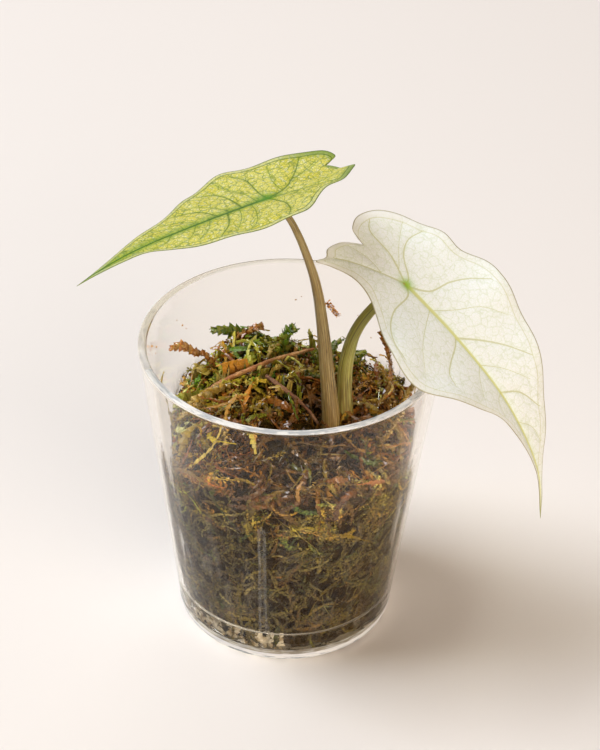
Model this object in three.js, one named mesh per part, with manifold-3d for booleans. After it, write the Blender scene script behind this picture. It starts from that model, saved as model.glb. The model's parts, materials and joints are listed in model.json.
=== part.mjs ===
// A young variegated alocasia in a clear tumbler packed with damp moss.
// Millimetres, +Z up. The origin is the middle of the tumbler's flat base, +Y points away from the
// side that is usually looked at, and +X to its right.
import * as THREE from 'three';
import { mergeVertices } from 'three/addons/utils/BufferGeometryUtils.js';
import Module from 'manifold-3d';

const wasm = await Module();
wasm.setup();

// Driving dimensions of the tumbler
const CUP_HEIGHT = 85.6;
const RIM_RADIUS = 40;
const FOOT_RADIUS = 29.4;
const WALL = 2.2;
const LIP_ROUND = 0.6;
const FOOT_ROUND = 1.6;
const BASE_THICKNESS = 2.8;
const LEDGE_HEIGHT = 9.5;
const LEDGE_STEP = 0.7;
const CUP_FACETS = 72;
const STACKING_RIB = { count: 3, top: 50, width: 1.8, depth: 0.6, firstTurn: -102 };

// Driving dimensions of what it holds
const CLEARANCE = 0.35;
const BLADE_THICKNESS = 0.7;
const MOSS_CROWN = 71;
const MOSS_EDGE = { mean: 57.4, lean: 1.5, leanTurn: 20, dip: 3.5, dipTurn: 152, dipSpread: 35 };
const MOSS_CLUMP = { x: -13, y: 14, height: 9, radius: 11 };
const MOSS_HOLLOW = { x: 5, y: -10, height: -4.5, radius: 9 };
const MOSS_STRANDS = 52;
const MOSS_SPREAD = 32;
const MOSS_ROUGHNESS = 1.3;
const MOSS_SEED = 11;

const radians = THREE.MathUtils.degToRad;
const vector = (p) => new THREE.Vector3(...p);
const clamp = THREE.MathUtils.clamp;
const lerp = THREE.MathUtils.lerp;
const GOLDEN_TURN = radians(137.5);

function outerRadius(z) {
  return lerp(FOOT_RADIUS, RIM_RADIUS, z / CUP_HEIGHT);
}

function innerRadius(z) {
  const step = z < LEDGE_HEIGHT ? LEDGE_STEP : 0;
  return outerRadius(z) - WALL - step;
}

// Random numbers that come out the same each time
function seededRandom(seed) {
  let state = seed;
  return () => {
    state = (state * 1664525 + 1013904223) % 4294967296;
    return state / 4294967296;
  };
}

// Turns a closed geometry into a solid for cutting and joining
function toSolid(geometry) {
  const bare = geometry.clone();
  bare.deleteAttribute('normal');
  bare.deleteAttribute('uv');
  const merged = mergeVertices(bare, 1e-4);
  const vertProperties = new Float32Array(merged.attributes.position.array);
  const triVerts = Uint32Array.from(withoutSlivers(merged.index.array));
  return new wasm.Manifold(new wasm.Mesh({ numProp: 3, vertProperties, triVerts }));
}

// Leaves out the triangles that closed up when equal corners were merged
function withoutSlivers(index) {
  const kept = [];
  for (let i = 0; i < index.length; i += 3) {
    const [a, b, c] = [index[i], index[i + 1], index[i + 2]];
    if (a !== b && b !== c && c !== a) {
      kept.push(a, b, c);
    }
  }
  return kept;
}

function toGeometry(solid) {
  const mesh = solid.getMesh();
  const geometry = new THREE.BufferGeometry();
  geometry.setAttribute('position', new THREE.BufferAttribute(mesh.vertProperties, 3));
  geometry.setIndex(new THREE.BufferAttribute(mesh.triVerts, 1));
  return geometry;
}

// The biggest connected body of a solid, without loose scraps
function largestBody(solid) {
  const bodies = solid.decompose();
  bodies.sort((a, b) => b.volume() - a.volume());
  return bodies[0];
}

function joined(solids) {
  return solids.reduce((sum, solid) => sum.add(solid));
}

// A closed skin over a stack of rings with equal point counts, shut by a fan at each end.
// The rings run counter-clockwise seen from the last ring.
function loft(rings) {
  const count = rings[0].length;
  const positions = rings.flat().flatMap((p) => [p.x, p.y, p.z]);
  const index = [];
  for (let r = 0; r + 1 < rings.length; r++) {
    for (let i = 0; i < count; i++) {
      const a = r * count + i;
      const b = r * count + ((i + 1) % count);
      index.push(a, b, a + count, b, b + count, a + count);
    }
  }
  for (const [ring, flip] of [[0, true], [rings.length - 1, false]]) {
    const centre = new THREE.Vector3();
    rings[ring].forEach((p) => centre.addScaledVector(p, 1 / count));
    const middle = positions.length / 3;
    positions.push(centre.x, centre.y, centre.z);
    for (let i = 0; i < count; i++) {
      const a = ring * count + i;
      const b = ring * count + ((i + 1) % count);
      index.push(...(flip ? [b, a, middle] : [a, b, middle]));
    }
  }
  const geometry = new THREE.BufferGeometry();
  geometry.setAttribute('position', new THREE.Float32BufferAttribute(positions, 3));
  geometry.setIndex(index);
  return geometry;
}

// A round tapering rod along a smooth curve. radii has one value for each point of the path.
function rod(path, radii, sides, steps, extra = 0) {
  const curve = new THREE.CatmullRomCurve3(path.map(vector));
  const frames = curve.computeFrenetFrames(steps, false);
  const rings = [];
  for (let k = 0; k <= steps; k++) {
    const t = k / steps;
    const centre = curve.getPointAt(t);
    const radius = valueAlong(radii, curve.getUtoTmapping(t)) + extra;
    const ring = [];
    for (let i = 0; i < sides; i++) {
      const turn = (2 * Math.PI * i) / sides;
      const p = centre.clone();
      p.addScaledVector(frames.normals[k], radius * Math.cos(turn));
      p.addScaledVector(frames.binormals[k], radius * Math.sin(turn));
      ring.push(p);
    }
    rings.push(ring);
  }
  return loft(rings);
}

// Reads an evenly spaced list of values at a fraction of its length
function valueAlong(values, t) {
  const place = clamp(t, 0, 1) * (values.length - 1);
  const k = Math.min(Math.floor(place), values.length - 2);
  return lerp(values[k], values[k + 1], place - k);
}

// The tumbler: one turned wall and base, with short stacking ribs inside
function makeCup() {
  const profile = [
    [0, 0],
    [FOOT_RADIUS - FOOT_ROUND, 0],
    [outerRadius(0) - 0.3 * FOOT_ROUND, 0.3 * FOOT_ROUND],
    [outerRadius(FOOT_ROUND), FOOT_ROUND],
    [RIM_RADIUS, CUP_HEIGHT - LIP_ROUND],
    [RIM_RADIUS - LIP_ROUND, CUP_HEIGHT],
    [RIM_RADIUS - WALL + LIP_ROUND, CUP_HEIGHT],
    [innerRadius(CUP_HEIGHT), CUP_HEIGHT - LIP_ROUND],
    [innerRadius(LEDGE_HEIGHT), LEDGE_HEIGHT],
    [innerRadius(LEDGE_HEIGHT) - LEDGE_STEP, LEDGE_HEIGHT - 0.4],
    [innerRadius(BASE_THICKNESS), BASE_THICKNESS],
    [0, BASE_THICKNESS],
  ];
  return toGeometry(toSolid(turned(profile, CUP_FACETS)).add(stackingRibs()));
}

// A profile of [radius, height] points turned round the Z axis
function turned(profile, facets) {
  const points = profile.map(([r, z]) => new THREE.Vector2(r, z));
  const geometry = new THREE.LatheGeometry(points, facets);
  geometry.rotateX(Math.PI / 2);
  return geometry;
}

// Flat bars that lean with the inner wall, half sunk in it, joined in one solid
function stackingRibs(extra = 0) {
  const { count, firstTurn } = STACKING_RIB;
  const turns = Array.from({ length: count }, (_, k) => firstTurn + (360 * k) / count);
  return joined(turns.map((turn) => toSolid(stackingRib(turn, extra))));
}

function stackingRib(turn, extra) {
  const low = LEDGE_HEIGHT - 1;
  const length = STACKING_RIB.top - low + extra;
  const [deep, wide] = [2 * STACKING_RIB.depth + 2 * extra, STACKING_RIB.width + 2 * extra];
  const bar = new THREE.BoxGeometry(deep, wide, length);
  const lean = Math.atan2(RIM_RADIUS - FOOT_RADIUS, CUP_HEIGHT);
  bar.rotateY(lean);
  bar.translate(innerRadius(low + length / 2), 0, low + length / 2);
  bar.rotateZ(radians(turn));
  return bar;
}

// Leaf blades. Each lies on a surface swept along its midrib: s is the distance from the stalk
// towards the drip tip, below zero in the back lobes, and w the distance out from the midrib.
// raise gives how far each half is folded up, in degrees, at the lobes, the middle and the tip.
const LEAF_LEFT = {
  midrib: [
    [-6.7, -4, 131.2],
    [-22.9, -15.7, 130.7],
    [-38.9, -27.5, 129.3],
    [-46.7, -33.4, 127.2],
    [-51, -36.7, 125.5],
  ],
  across: [-0.574, 0.802, -0.163],
  raise: { far: [14, -4, 8], near: [18, 5, -4] },
  notch: [-19.6, 2.8],
  farEdge: [
    [-21.7, 3.4], [-23.4, 4.4], [-21.4, 7.7], [-15, 11.5], [-8, 14.8], [0, 18.2], [4, 19],
    [9, 18.2], [15, 15.6], [21, 12.4], [28, 8.8], [35, 6], [43, 2.4], [50, 0.5],
  ],
  nearEdge: [
    [-20.6, 1.9], [-22.3, -0.3], [-24.1, -3.7], [-20.1, -8], [-15.8, -10.9], [-11.5, -10.6],
    [-7, -13.4], [-2.8, -16.5], [2, -18.8], [6, -18.7], [13, -16], [20, -13.7], [26.6, -10.6],
    [32, -7], [37, -3.2], [43, -2], [50, -0.9],
  ],
  waves: { height: 0.5, length: 15, phase: 0.6 },
};
const LEAF_RIGHT = {
  midrib: [
    [28.6, -2, 105.8],
    [42.6, -10.2, 94.4],
    [55.4, -17.4, 80.7],
    [64.3, -21.8, 63.6],
    [66.8, -22, 46.5],
  ],
  across: [0.546, 0.835, 0.071],
  raise: { far: [1, 19, 15], near: [-5, 13, 17] },
  notch: [-14.6, -1.2],
  farEdge: [
    [-17.3, -0.7], [-19.6, 0], [-21, 4], [-19, 9.7], [-14, 14.4], [-8, 17.1], [-3, 19],
    [3, 19], [10, 22.2], [16, 21.6], [24, 19.5], [31, 17.6], [38.4, 14.1], [45, 10.3],
    [52, 6.6], [58, 2.9], [64, 1], [71, 0.7],
  ],
  nearEdge: [
    [-16.3, -2.8], [-18.9, -6.1], [-19.9, -10.4], [-18.6, -12.6], [-19.6, -15.8],
    [-16.4, -13.9], [-10.3, -11.9], [-4.4, -12.6], [1, -15.6], [7, -20.8], [13, -24.4],
    [18, -25.5], [23, -23.8], [29, -18.2], [35, -12.2], [41, -6.4], [48, -3.8],
    [56, -1.8], [64, -0.8], [71, -0.5],
  ],
  waves: { height: 0.6, length: 19, phase: 2.1 },
};
const BLADE_RUNGS = 36;
const BLADE_CELLS = 6;
const LOBE_SHARE = 0.3;
const KEEL = { height: 1.1, width: 1.3 };

// Smooth value through three values given at the lobes, the middle and the tip of a blade
function throughThree([a, b, c], u) {
  const [p, q, r] = [-0.3, 0.4, 1];
  const at = clamp(u, -0.4, 1);
  return (a * (at - q) * (at - r)) / ((p - q) * (p - r))
    + (b * (at - p) * (at - r)) / ((q - p) * (q - r))
    + (c * (at - p) * (at - q)) / ((r - p) * (r - q));
}

// The blade's middle surface: a function from (s, w) to a point and the upward normal
function bladeSurface(leaf) {
  const curve = new THREE.CatmullRomCurve3(leaf.midrib.map(vector));
  const length = curve.getLength();
  const across = vector(leaf.across).normalize();
  return (s, w) => {
    const t = clamp(s / length, 0, 1);
    const along = curve.getTangentAt(t);
    const centre = curve.getPointAt(t).addScaledVector(along, Math.min(s, 0));
    const up = new THREE.Vector3().crossVectors(along, across).normalize();
    if (up.z < 0) {
      up.negate();
    }
    const side = Math.sign(w) || 1;
    const fold = radians(throughThree(side > 0 ? leaf.raise.far : leaf.raise.near, s / length));
    const out = across.clone().multiplyScalar(side * Math.cos(fold)).addScaledVector(up, Math.sin(fold));
    const { height, length: wave, phase } = leaf.waves;
    const reach = clamp(Math.abs(w) / 18, 0, 1);
    const ripple = height * reach * reach * Math.sin((2 * Math.PI * s) / wave + side * phase);
    return centre.addScaledVector(out, Math.abs(w)).addScaledVector(up, ripple);
  };
}

// A rung of the blade's net runs from the spine to the edge. The spine goes from the notch
// between the lobes through the stalk's joint to the drip tip, and the first share of the rungs
// fans out over a lobe.
function bladeRung(leaf, edge, length, t) {
  const spine = new THREE.Vector2(...leaf.notch).multiplyScalar(Math.max(1 - t / LOBE_SHARE, 0));
  spine.x += length * Math.max((t - LOBE_SHARE) / (1 - LOBE_SHARE), 0);
  return [spine, edge.getPointAt(t)];
}

// A thin closed blade, alike on both faces, with a keel under the midrib
function makeBlade(leaf, thickness) {
  const surface = bladeSurface(leaf);
  const length = new THREE.CatmullRomCurve3(leaf.midrib.map(vector)).getLength();
  const flat = [];
  const vertexAt = new Map();
  const addVertex = (s, w) => {
    const key = `${s.toFixed(3)},${w.toFixed(3)}`;
    if (!vertexAt.has(key)) {
      vertexAt.set(key, flat.length);
      flat.push([s, w]);
    }
    return vertexAt.get(key);
  };
  const triangles = [];
  for (const side of [1, -1]) {
    const outline = [leaf.notch, ...(side > 0 ? leaf.farEdge : leaf.nearEdge), [length, 0]];
    const edge = new THREE.SplineCurve(outline.map((p) => new THREE.Vector2(...p)));
    const rows = [];
    for (let i = 0; i <= BLADE_RUNGS; i++) {
      const [spine, rim] = bladeRung(leaf, edge, length, i / BLADE_RUNGS);
      const row = [];
      for (let j = 0; j <= BLADE_CELLS; j++) {
        const p = spine.clone().lerp(rim, j / BLADE_CELLS);
        row.push(addVertex(p.x, p.y));
      }
      rows.push(row);
    }
    for (let i = 0; i < BLADE_RUNGS; i++) {
      for (let j = 0; j < BLADE_CELLS; j++) {
        const [a, b] = [rows[i][j], rows[i][j + 1]];
        const [c, d] = [rows[i + 1][j], rows[i + 1][j + 1]];
        const quads = [[a, b, c], [b, d, c]];
        triangles.push(...quads.map((q) => (side > 0 ? q : [q[0], q[2], q[1]])));
      }
    }
  }
  const faces = triangles.filter(([a, b, c]) => a !== b && b !== c && c !== a);
  return closedSheet(flat, faces, surface, thickness, length);
}

// Gives a net of flat points its two faces and the narrow strip between them
function closedSheet(flat, triangles, surface, thickness, length) {
  const middle = flat.map(([s, w]) => surface(s, w));
  const normals = middle.map(() => new THREE.Vector3());
  for (const [a, b, c] of triangles) {
    const ab = middle[b].clone().sub(middle[a]);
    const ac = middle[c].clone().sub(middle[a]);
    const normal = ab.cross(ac);
    [a, b, c].forEach((k) => normals[k].add(normal));
  }
  const turnOver = normals.reduce((sum, n) => sum + n.z, 0) < 0;
  normals.forEach((n) => n.normalize().multiplyScalar(turnOver ? -1 : 1));
  const faces = turnOver ? triangles.map(([a, b, c]) => [a, c, b]) : triangles;
  const top = middle.map((p, k) => p.clone().addScaledVector(normals[k], thickness / 2));
  const bottom = middle.map((p, k) => {
    const [s, w] = flat[k];
    const taper = clamp(1 - Math.abs(s) / length, 0, 1);
    const keel = KEEL.height * taper * Math.exp(-((w / KEEL.width) ** 2));
    return p.clone().addScaledVector(normals[k], -thickness / 2 - keel);
  });
  const count = flat.length;
  const index = [];
  const openEdges = new Map();
  for (const [a, b, c] of faces) {
    index.push(a, b, c, a + count, c + count, b + count);
    for (const [p, q] of [[a, b], [b, c], [c, a]]) {
      if (!openEdges.delete(`${q},${p}`)) {
        openEdges.set(`${p},${q}`, [p, q]);
      }
    }
  }
  for (const [p, q] of openEdges.values()) {
    index.push(p, p + count, q, q, p + count, q + count);
  }
  const geometry = new THREE.BufferGeometry();
  const positions = [...top, ...bottom].flatMap((p) => [p.x, p.y, p.z]);
  geometry.setAttribute('position', new THREE.Float32BufferAttribute(positions, 3));
  geometry.setIndex(index);
  return geometry;
}

// Leaf stalks: a path up from the corm to the blade, and a radius at each point of it
const STEM_LEFT = {
  path: [
    [11, -10, 58], [11, -9.4, 67.4], [9.8, -8.4, 79], [7.7, -6.9, 97.3], [5.7, -5.9, 108.3],
    [2.7, -5.2, 117.3], [-1, -4.5, 125.5], [-6.2, -4, 131.6],
  ],
  radii: [2.6, 2.35, 1.95, 1.5, 1.2, 0.98, 0.85, 0.8],
  sides: 10,
  steps: 20,
};
const STEM_RIGHT = {
  path: [
    [15.8, -5, 58], [14.6, -5, 66.8], [14.2, -4, 79.1], [15, -3.5, 85.8], [16.7, -3, 91.9],
    [21, -2.5, 98.8], [24.6, -2.2, 102.4], [29, -2, 106.2],
  ],
  radii: [2.6, 2.3, 1.9, 1.75, 1.55, 1.35, 1.2, 1.1],
  sides: 10,
  steps: 20,
};

function stemRod(stem, extra = 0) {
  return toSolid(rod(stem.path, stem.radii, stem.sides, stem.steps, extra));
}

// The corm that both stalks stand on, and its roots
const CORM = { x: 13.2, y: -7.6, top: 57.6, height: 13, radius: 6.6 };
const CORM_PROFILE = [[0.25, 0], [0.7, 0.12], [1, 0.45], [0.95, 0.75], [0.72, 1]];
const ROOTS = [
  [[14, -8, 50], [18, -13, 42], [20, -12, 30], [16, -6, 18]],
  [[12, -8, 50], [5, -12, 41], [0, -16, 29], [2, -12, 16]],
  [[13, -7, 50], [11, 2, 43], [15, 10, 33], [10, 12, 20]],
  [[12, -7, 49], [2, -2, 44], [-8, 4, 35], [-12, 8, 25]],
];
const ROOT_RADII = [1.3, 1, 0.8, 0.6];

function makeCorm(extra = 0) {
  const low = CORM.top - CORM.height - extra;
  const high = CORM.height + 2 * extra;
  const profile = CORM_PROFILE.map(([r, z]) => [r * CORM.radius + extra, low + z * high]);
  const bulb = turned([[0, low], ...profile, [0, low + high]], 14);
  bulb.translate(CORM.x, CORM.y, 0);
  const roots = ROOTS.map((path) => toSolid(rod(path, ROOT_RADII, 6, 9, extra)));
  return joined([toSolid(bulb), ...roots]);
}

// Dry stalks that lie across the moss
const TWIG_LONG = {
  path: [
    [5.9, 18, 70.6], [-0.3, 13.2, 71.8], [-5.6, 8, 73.3], [-10.8, 4.5, 73], [-16.1, 4.1, 70.2],
    [-22.7, 3.4, 65.5], [-26.7, 1.9, 62.4],
  ],
  radii: [0.5, 0.55, 0.6, 0.7, 0.9, 0.8, 0.5],
};
const TWIG_THIN = {
  path: [[-6.3, 3, 72], [-1.3, -1.7, 71.1], [2.7, -4.2, 69.1], [5.4, -5.7, 67], [7.6, -8.3, 65.2]],
  radii: [0.45, 0.6, 0.55, 0.5, 0.4],
};

function twigRod(twig, extra = 0) {
  return toSolid(rod(twig.path, twig.radii, 6, 12, extra));
}

// Height of the moss, without its strands: a mound that falls away to the wall, lower on the left
// and behind, with a clump at the back left and a hollow beside the stalks
function mossHeight(x, y) {
  const turn = THREE.MathUtils.radToDeg(Math.atan2(y, x));
  const away = (angle) => THREE.MathUtils.euclideanModulo(turn - angle + 180, 360) - 180;
  const lean = MOSS_EDGE.lean * Math.cos(radians(away(MOSS_EDGE.leanTurn)));
  const dip = MOSS_EDGE.dip * Math.exp(-((away(MOSS_EDGE.dipTurn) / MOSS_EDGE.dipSpread) ** 2));
  const atWall = MOSS_EDGE.mean + lean - dip;
  const reach = Math.min(Math.hypot(x, y) / innerRadius(CUP_HEIGHT), 1);
  const lumps = 0.8 * Math.sin(0.42 * x + 1.3) * Math.cos(0.37 * y) + 0.5 * Math.sin(0.71 * y - 0.55 * x);
  return [MOSS_CLUMP, MOSS_HOLLOW].reduce((height, bump) => {
    const away2 = ((x - bump.x) ** 2 + (y - bump.y) ** 2) / bump.radius ** 2;
    return height + bump.height * Math.exp(-away2);
  }, lerp(MOSS_CROWN, atWall, reach ** 1.5) + lumps);
}

// The packed mass: rings up the wall, then in over the mounded top
function mossCore(random) {
  const around = 44;
  const wallRings = 9;
  const topRings = 7;
  const ring = (place) => Array.from({ length: around }, (_, i) => place((2 * Math.PI * i) / around));
  const low = BASE_THICKNESS + CLEARANCE;
  const wallPoint = (turn, z) => {
    const dent = 0.5 + 0.5 * Math.sin(5 * turn + 0.31 * z) * Math.cos(3 * turn - 0.47 * z);
    const radius = innerRadius(z) - 1.5 * CLEARANCE - 0.9 * dent;
    return new THREE.Vector3(radius * Math.cos(turn), radius * Math.sin(turn), z);
  };
  const topOfWall = (turn) => {
    const reach = innerRadius(MOSS_EDGE.mean) - 2;
    return mossHeight(reach * Math.cos(turn), reach * Math.sin(turn)) - 1.2;
  };
  const rings = [];
  for (let k = 0; k <= wallRings; k++) {
    rings.push(ring((turn) => wallPoint(turn, lerp(low, topOfWall(turn), k / wallRings))));
  }
  for (let k = 1; k < topRings; k++) {
    rings.push(ring((turn) => {
      const edge = wallPoint(turn, topOfWall(turn));
      const inward = 1 - k / topRings;
      const [x, y] = [edge.x * inward, edge.y * inward];
      return new THREE.Vector3(x, y, mossHeight(x, y) + MOSS_ROUGHNESS * (random() - 0.5));
    }));
  }
  return loft(rings);
}

// One strand: a thin crooked rod that starts in the moss, arches over it and dips or sticks out
function mossStrand(random, x, y) {
  const heading = 2 * Math.PI * random();
  const reach = lerp(8, 13, random());
  const lift = lerp(1.8, 3.6, random());
  const bend = lerp(-4, 4, random());
  const tipUp = random() < 0.25 ? lerp(0.5, 2, random()) : -1.5;
  const path = [];
  for (let k = 0; k <= 4; k++) {
    const t = k / 4;
    const along = reach * (t - 0.5);
    const off = bend * Math.sin(Math.PI * t);
    const px = x + along * Math.cos(heading) - off * Math.sin(heading);
    const py = y + along * Math.sin(heading) + off * Math.cos(heading);
    const rise = lift * Math.sin(Math.PI * Math.min(1.15 * t, 1)) + lerp(-2.2, tipUp, t);
    path.push([px, py, mossHeight(px, py) + rise]);
  }
  const thick = lerp(0.8, 1.3, random());
  return rod(path, [thick, 1.1 * thick, 0.9 * thick, 0.5 * thick], 4, 4);
}

// Sprigs on the skyline of the moss and a loose strand at the left wall, each as a path
const MOSS_SPRIGS = [
  { path: [[-14, 6, 67], [-21, 10, 71.5], [-26, 12, 73], [-30, 14, 73.3], [-33, 14.5, 71.8]], thick: 1.7 },
  { path: [[-3, 17, 66], [-11, 20.5, 71.8], [-17, 22, 73], [-22, 23, 72.4]], thick: 1.6 },
  { path: [[-17, 16, 67], [-14, 19, 73.6], [-11, 20, 75.3], [-7.6, 21, 75.6]], thick: 1.2 },
  { path: [[1.5, 13, 66], [-1.5, 17, 71.5], [-1.5, 19.5, 74.6], [1, 20, 76.3]], thick: 1.9 },
  { path: [[8, 15, 64], [6, 18.5, 72], [4.5, 20.5, 75.1]], thick: 1.1 },
  { path: [[8, 11, 65], [11, 16.5, 72.4], [13.5, 19, 73.2]], thick: 1.3 },
  { path: [[11, 9, 66], [16, 14, 71.6], [20, 16, 71]], thick: 1.5 },
  { path: [[27, 8, 64], [26.5, 11.5, 72], [25, 14, 76.4], [23.6, 15, 79.3]], thick: 0.9 },
  { path: [[-22, 8, 68.5], [-25, 10.5, 69], [-25.3, 11, 65], [-22.5, 9, 61]], thick: 1.2 },
  { path: [[-29, -6, 58], [-33, -2, 66], [-34.2, 2, 69.5], [-33.8, 5, 71]], thick: 0.5 },
];
const SPRIG_TAPER = [1, 0.95, 0.8, 0.6, 0.3];
const LEAFLETS = { count: 5, reach: 1.5, lean: 0.8 };
const RIM_STRAND = {
  path: [[24, -12, 63], [28, -17, 76], [30, -19.4, 84.5], [32.2, -20.8, 87.6], [35, -22.4, 87.2], [36, -23.2, 84.4]],
  radii: [1.1, 0.8, 0.7, 0.6, 0.5, 0.3],
};

// A leafy sprig: a tapering rod with short leaflets that lean towards its tip, on both sides
function mossSprig({ path, thick }) {
  const parts = [toSolid(rod(path, SPRIG_TAPER.map((taper) => thick * taper), 6, 6))];
  const curve = new THREE.CatmullRomCurve3(path.map(vector));
  const sideways = new THREE.Vector3();
  for (let k = 0; k < LEAFLETS.count; k++) {
    const t = (k + 1.4) / (LEAFLETS.count + 1.6);
    const along = curve.getTangentAt(t);
    sideways.crossVectors(along, THREE.Object3D.DEFAULT_UP).normalize().multiplyScalar(k % 2 ? 1 : -1);
    const heading = sideways.clone().addScaledVector(along, LEAFLETS.lean).normalize();
    const base = thick * valueAlong(SPRIG_TAPER, t);
    const reach = LEAFLETS.reach * base + 1;
    const leaflet = new THREE.ConeGeometry(0.7 * base, reach, 4);
    leaflet.translate(0, reach / 2, 0);
    leaflet.applyQuaternion(new THREE.Quaternion().setFromUnitVectors(new THREE.Vector3(0, 1, 0), heading));
    leaflet.translate(...curve.getPointAt(t).addScaledVector(heading, 0.3 * base));
    parts.push(toSolid(leaflet));
  }
  return joined(parts);
}

function makeMoss(keepClear) {
  const random = seededRandom(MOSS_SEED);
  const parts = [toSolid(mossCore(random))];
  for (let k = 0; k < MOSS_STRANDS; k++) {
    const out = MOSS_SPREAD * Math.sqrt((k + 0.5) / MOSS_STRANDS);
    const turn = k * GOLDEN_TURN;
    parts.push(toSolid(mossStrand(random, out * Math.cos(turn), out * Math.sin(turn))));
  }
  parts.push(...MOSS_SPRIGS.map(mossSprig));
  const room = [
    [0, BASE_THICKNESS + CLEARANCE],
    [innerRadius(BASE_THICKNESS) - CLEARANCE, BASE_THICKNESS + CLEARANCE],
    [innerRadius(LEDGE_HEIGHT) - LEDGE_STEP - CLEARANCE, LEDGE_HEIGHT],
    [innerRadius(CUP_HEIGHT) - 1.4 * CLEARANCE, CUP_HEIGHT],
    [0, CUP_HEIGHT],
  ];
  const packed = joined(parts).intersect(toSolid(turned(room, CUP_FACETS)));
  const overRim = toSolid(rod(RIM_STRAND.path, RIM_STRAND.radii, 6, 9));
  const moss = packed.subtract(stackingRibs(CLEARANCE)).add(overRim);
  return toGeometry(largestBody(moss.subtract(joined(keepClear))));
}

// The scrap of moss stuck to the back wall
const SCRAP = { path: [[8.9, 34.1, 75], [10.5, 33.5, 74], [12.9, 32.4, 71.5]], radii: [0.5, 0.7, 0.4] };

const group = new THREE.Group();

function addPiece(name, geometry, color, roughness, options = {}) {
  const material = new THREE.MeshStandardMaterial({ color, roughness, metalness: 0, ...options });
  const mesh = new THREE.Mesh(geometry, material);
  mesh.name = name;
  group.add(mesh);
}

const stems = [STEM_LEFT, STEM_RIGHT];
const blades = [LEAF_LEFT, LEAF_RIGHT];
const bladeRoom = blades.map((leaf) => toSolid(makeBlade(leaf, BLADE_THICKNESS + 2 * CLEARANCE)));
const cormRoom = makeCorm(CLEARANCE);
const leftStem = largestBody(stemRod(STEM_LEFT).subtract(bladeRoom[0]).subtract(cormRoom));
const leftRoom = stemRod(STEM_LEFT, CLEARANCE);
const rightStem = largestBody(stemRod(STEM_RIGHT).subtract(bladeRoom[1]).subtract(cormRoom).subtract(leftRoom));

addPiece('cup', makeCup(), 0xf4f6f6, 0.08, { transparent: true, opacity: 0.35 });
addPiece('moss', makeMoss([
  ...stems.map((stem) => stemRod(stem, CLEARANCE)),
  cormRoom,
  twigRod(TWIG_LONG, CLEARANCE),
  twigRod(TWIG_THIN, CLEARANCE),
]), 0x6f5a1e, 0.85);
addPiece('corm', toGeometry(makeCorm()), 0x8a6a45, 0.8);
addPiece('stem_left', toGeometry(leftStem), 0x8d7146, 0.5);
addPiece('stem_right', toGeometry(rightStem), 0x87893f, 0.5);
addPiece('leaf_left', makeBlade(LEAF_LEFT, BLADE_THICKNESS), 0xc9cc6a, 0.45);
addPiece('leaf_right', makeBlade(LEAF_RIGHT, BLADE_THICKNESS), 0xeaecd9, 0.45);
addPiece('twig_long', toGeometry(twigRod(TWIG_LONG)), 0x8a5230, 0.8);
addPiece('twig_thin', toGeometry(twigRod(TWIG_THIN)), 0x4a2a1c, 0.8);
addPiece('moss_scrap', rod(SCRAP.path, SCRAP.radii, 5, 6), 0xb5762b, 0.8);

export default group;
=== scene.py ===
"""A young variegated alocasia in a clear tumbler of damp moss, dressed over its CAD frame.

Sizes are in millimetres until a mesh is made. The origin is the middle of the tumbler's flat base,
+Z is up and +Y points away from the side that is usually looked at.
"""

import json
import math

import bmesh
import bpy
import numpy as np
from bpy.props import FloatProperty, FloatVectorProperty, IntProperty, PointerProperty
from mathutils import Matrix, Vector, noise

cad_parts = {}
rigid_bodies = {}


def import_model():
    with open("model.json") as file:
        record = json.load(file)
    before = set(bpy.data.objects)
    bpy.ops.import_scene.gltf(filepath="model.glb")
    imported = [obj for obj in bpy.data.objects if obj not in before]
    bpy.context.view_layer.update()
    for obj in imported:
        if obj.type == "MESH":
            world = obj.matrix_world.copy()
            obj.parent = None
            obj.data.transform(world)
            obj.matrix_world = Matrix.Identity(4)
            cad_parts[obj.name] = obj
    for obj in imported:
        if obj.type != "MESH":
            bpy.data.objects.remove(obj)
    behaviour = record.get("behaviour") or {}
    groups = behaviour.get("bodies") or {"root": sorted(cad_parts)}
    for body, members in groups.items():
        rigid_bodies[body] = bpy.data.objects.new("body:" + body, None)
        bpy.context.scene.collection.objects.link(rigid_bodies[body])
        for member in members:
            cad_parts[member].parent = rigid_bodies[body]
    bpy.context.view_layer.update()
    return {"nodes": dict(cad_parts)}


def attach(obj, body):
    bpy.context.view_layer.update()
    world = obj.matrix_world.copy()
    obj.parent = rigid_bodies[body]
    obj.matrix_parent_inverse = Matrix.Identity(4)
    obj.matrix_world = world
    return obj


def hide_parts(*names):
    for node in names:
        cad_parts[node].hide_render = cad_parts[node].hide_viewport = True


bl_info = {
    "name": "Potted alocasia",
    "version": (1, 0, 0),
    "blender": (4, 5, 0),
    "location": "View3D > Sidebar > Alocasia",
    "description": "Dresses the frame of a potted alocasia with leaves, stalks, moss and tumbler",
    "category": "Add Mesh",
}

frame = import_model()
MM = 0.001


# ---- Sizes of the frame ----

CUP_HEIGHT = 85.6
RIM_RADIUS = 40.0
FOOT_RADIUS = 29.4
WALL = 2.2
BASE_THICKNESS = 2.8
LEDGE_HEIGHT = 9.5
LEDGE_STEP = 0.7
RIB_TURNS = (-100.6, 19.4, 139.4)
RIB_TOP = 50.0
RIB_WIDTH = 1.8
RIB_DEPTH = 0.34
RIB_REACH = 1.3  # from a rib's middle to where it has run out into the wall
RIB_RADIUS = 33.0  # of the circle that the ribs stand on
CLEARANCE = 0.35
PLAN_SCALE = 100.0  # width of the square that a blade's plan coordinates span
STREAK_GREY = (0.5, 0.54, 0.6, 1)  # grey of the streaks on the whitened lip, part of its painted reflection
GOLDEN_ANGLE = 137.5  # from one leaf of a shoot to the next
BED_SIDES, BED_WALL_RINGS, BED_TOP_RINGS = 150, 64, 44

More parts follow.
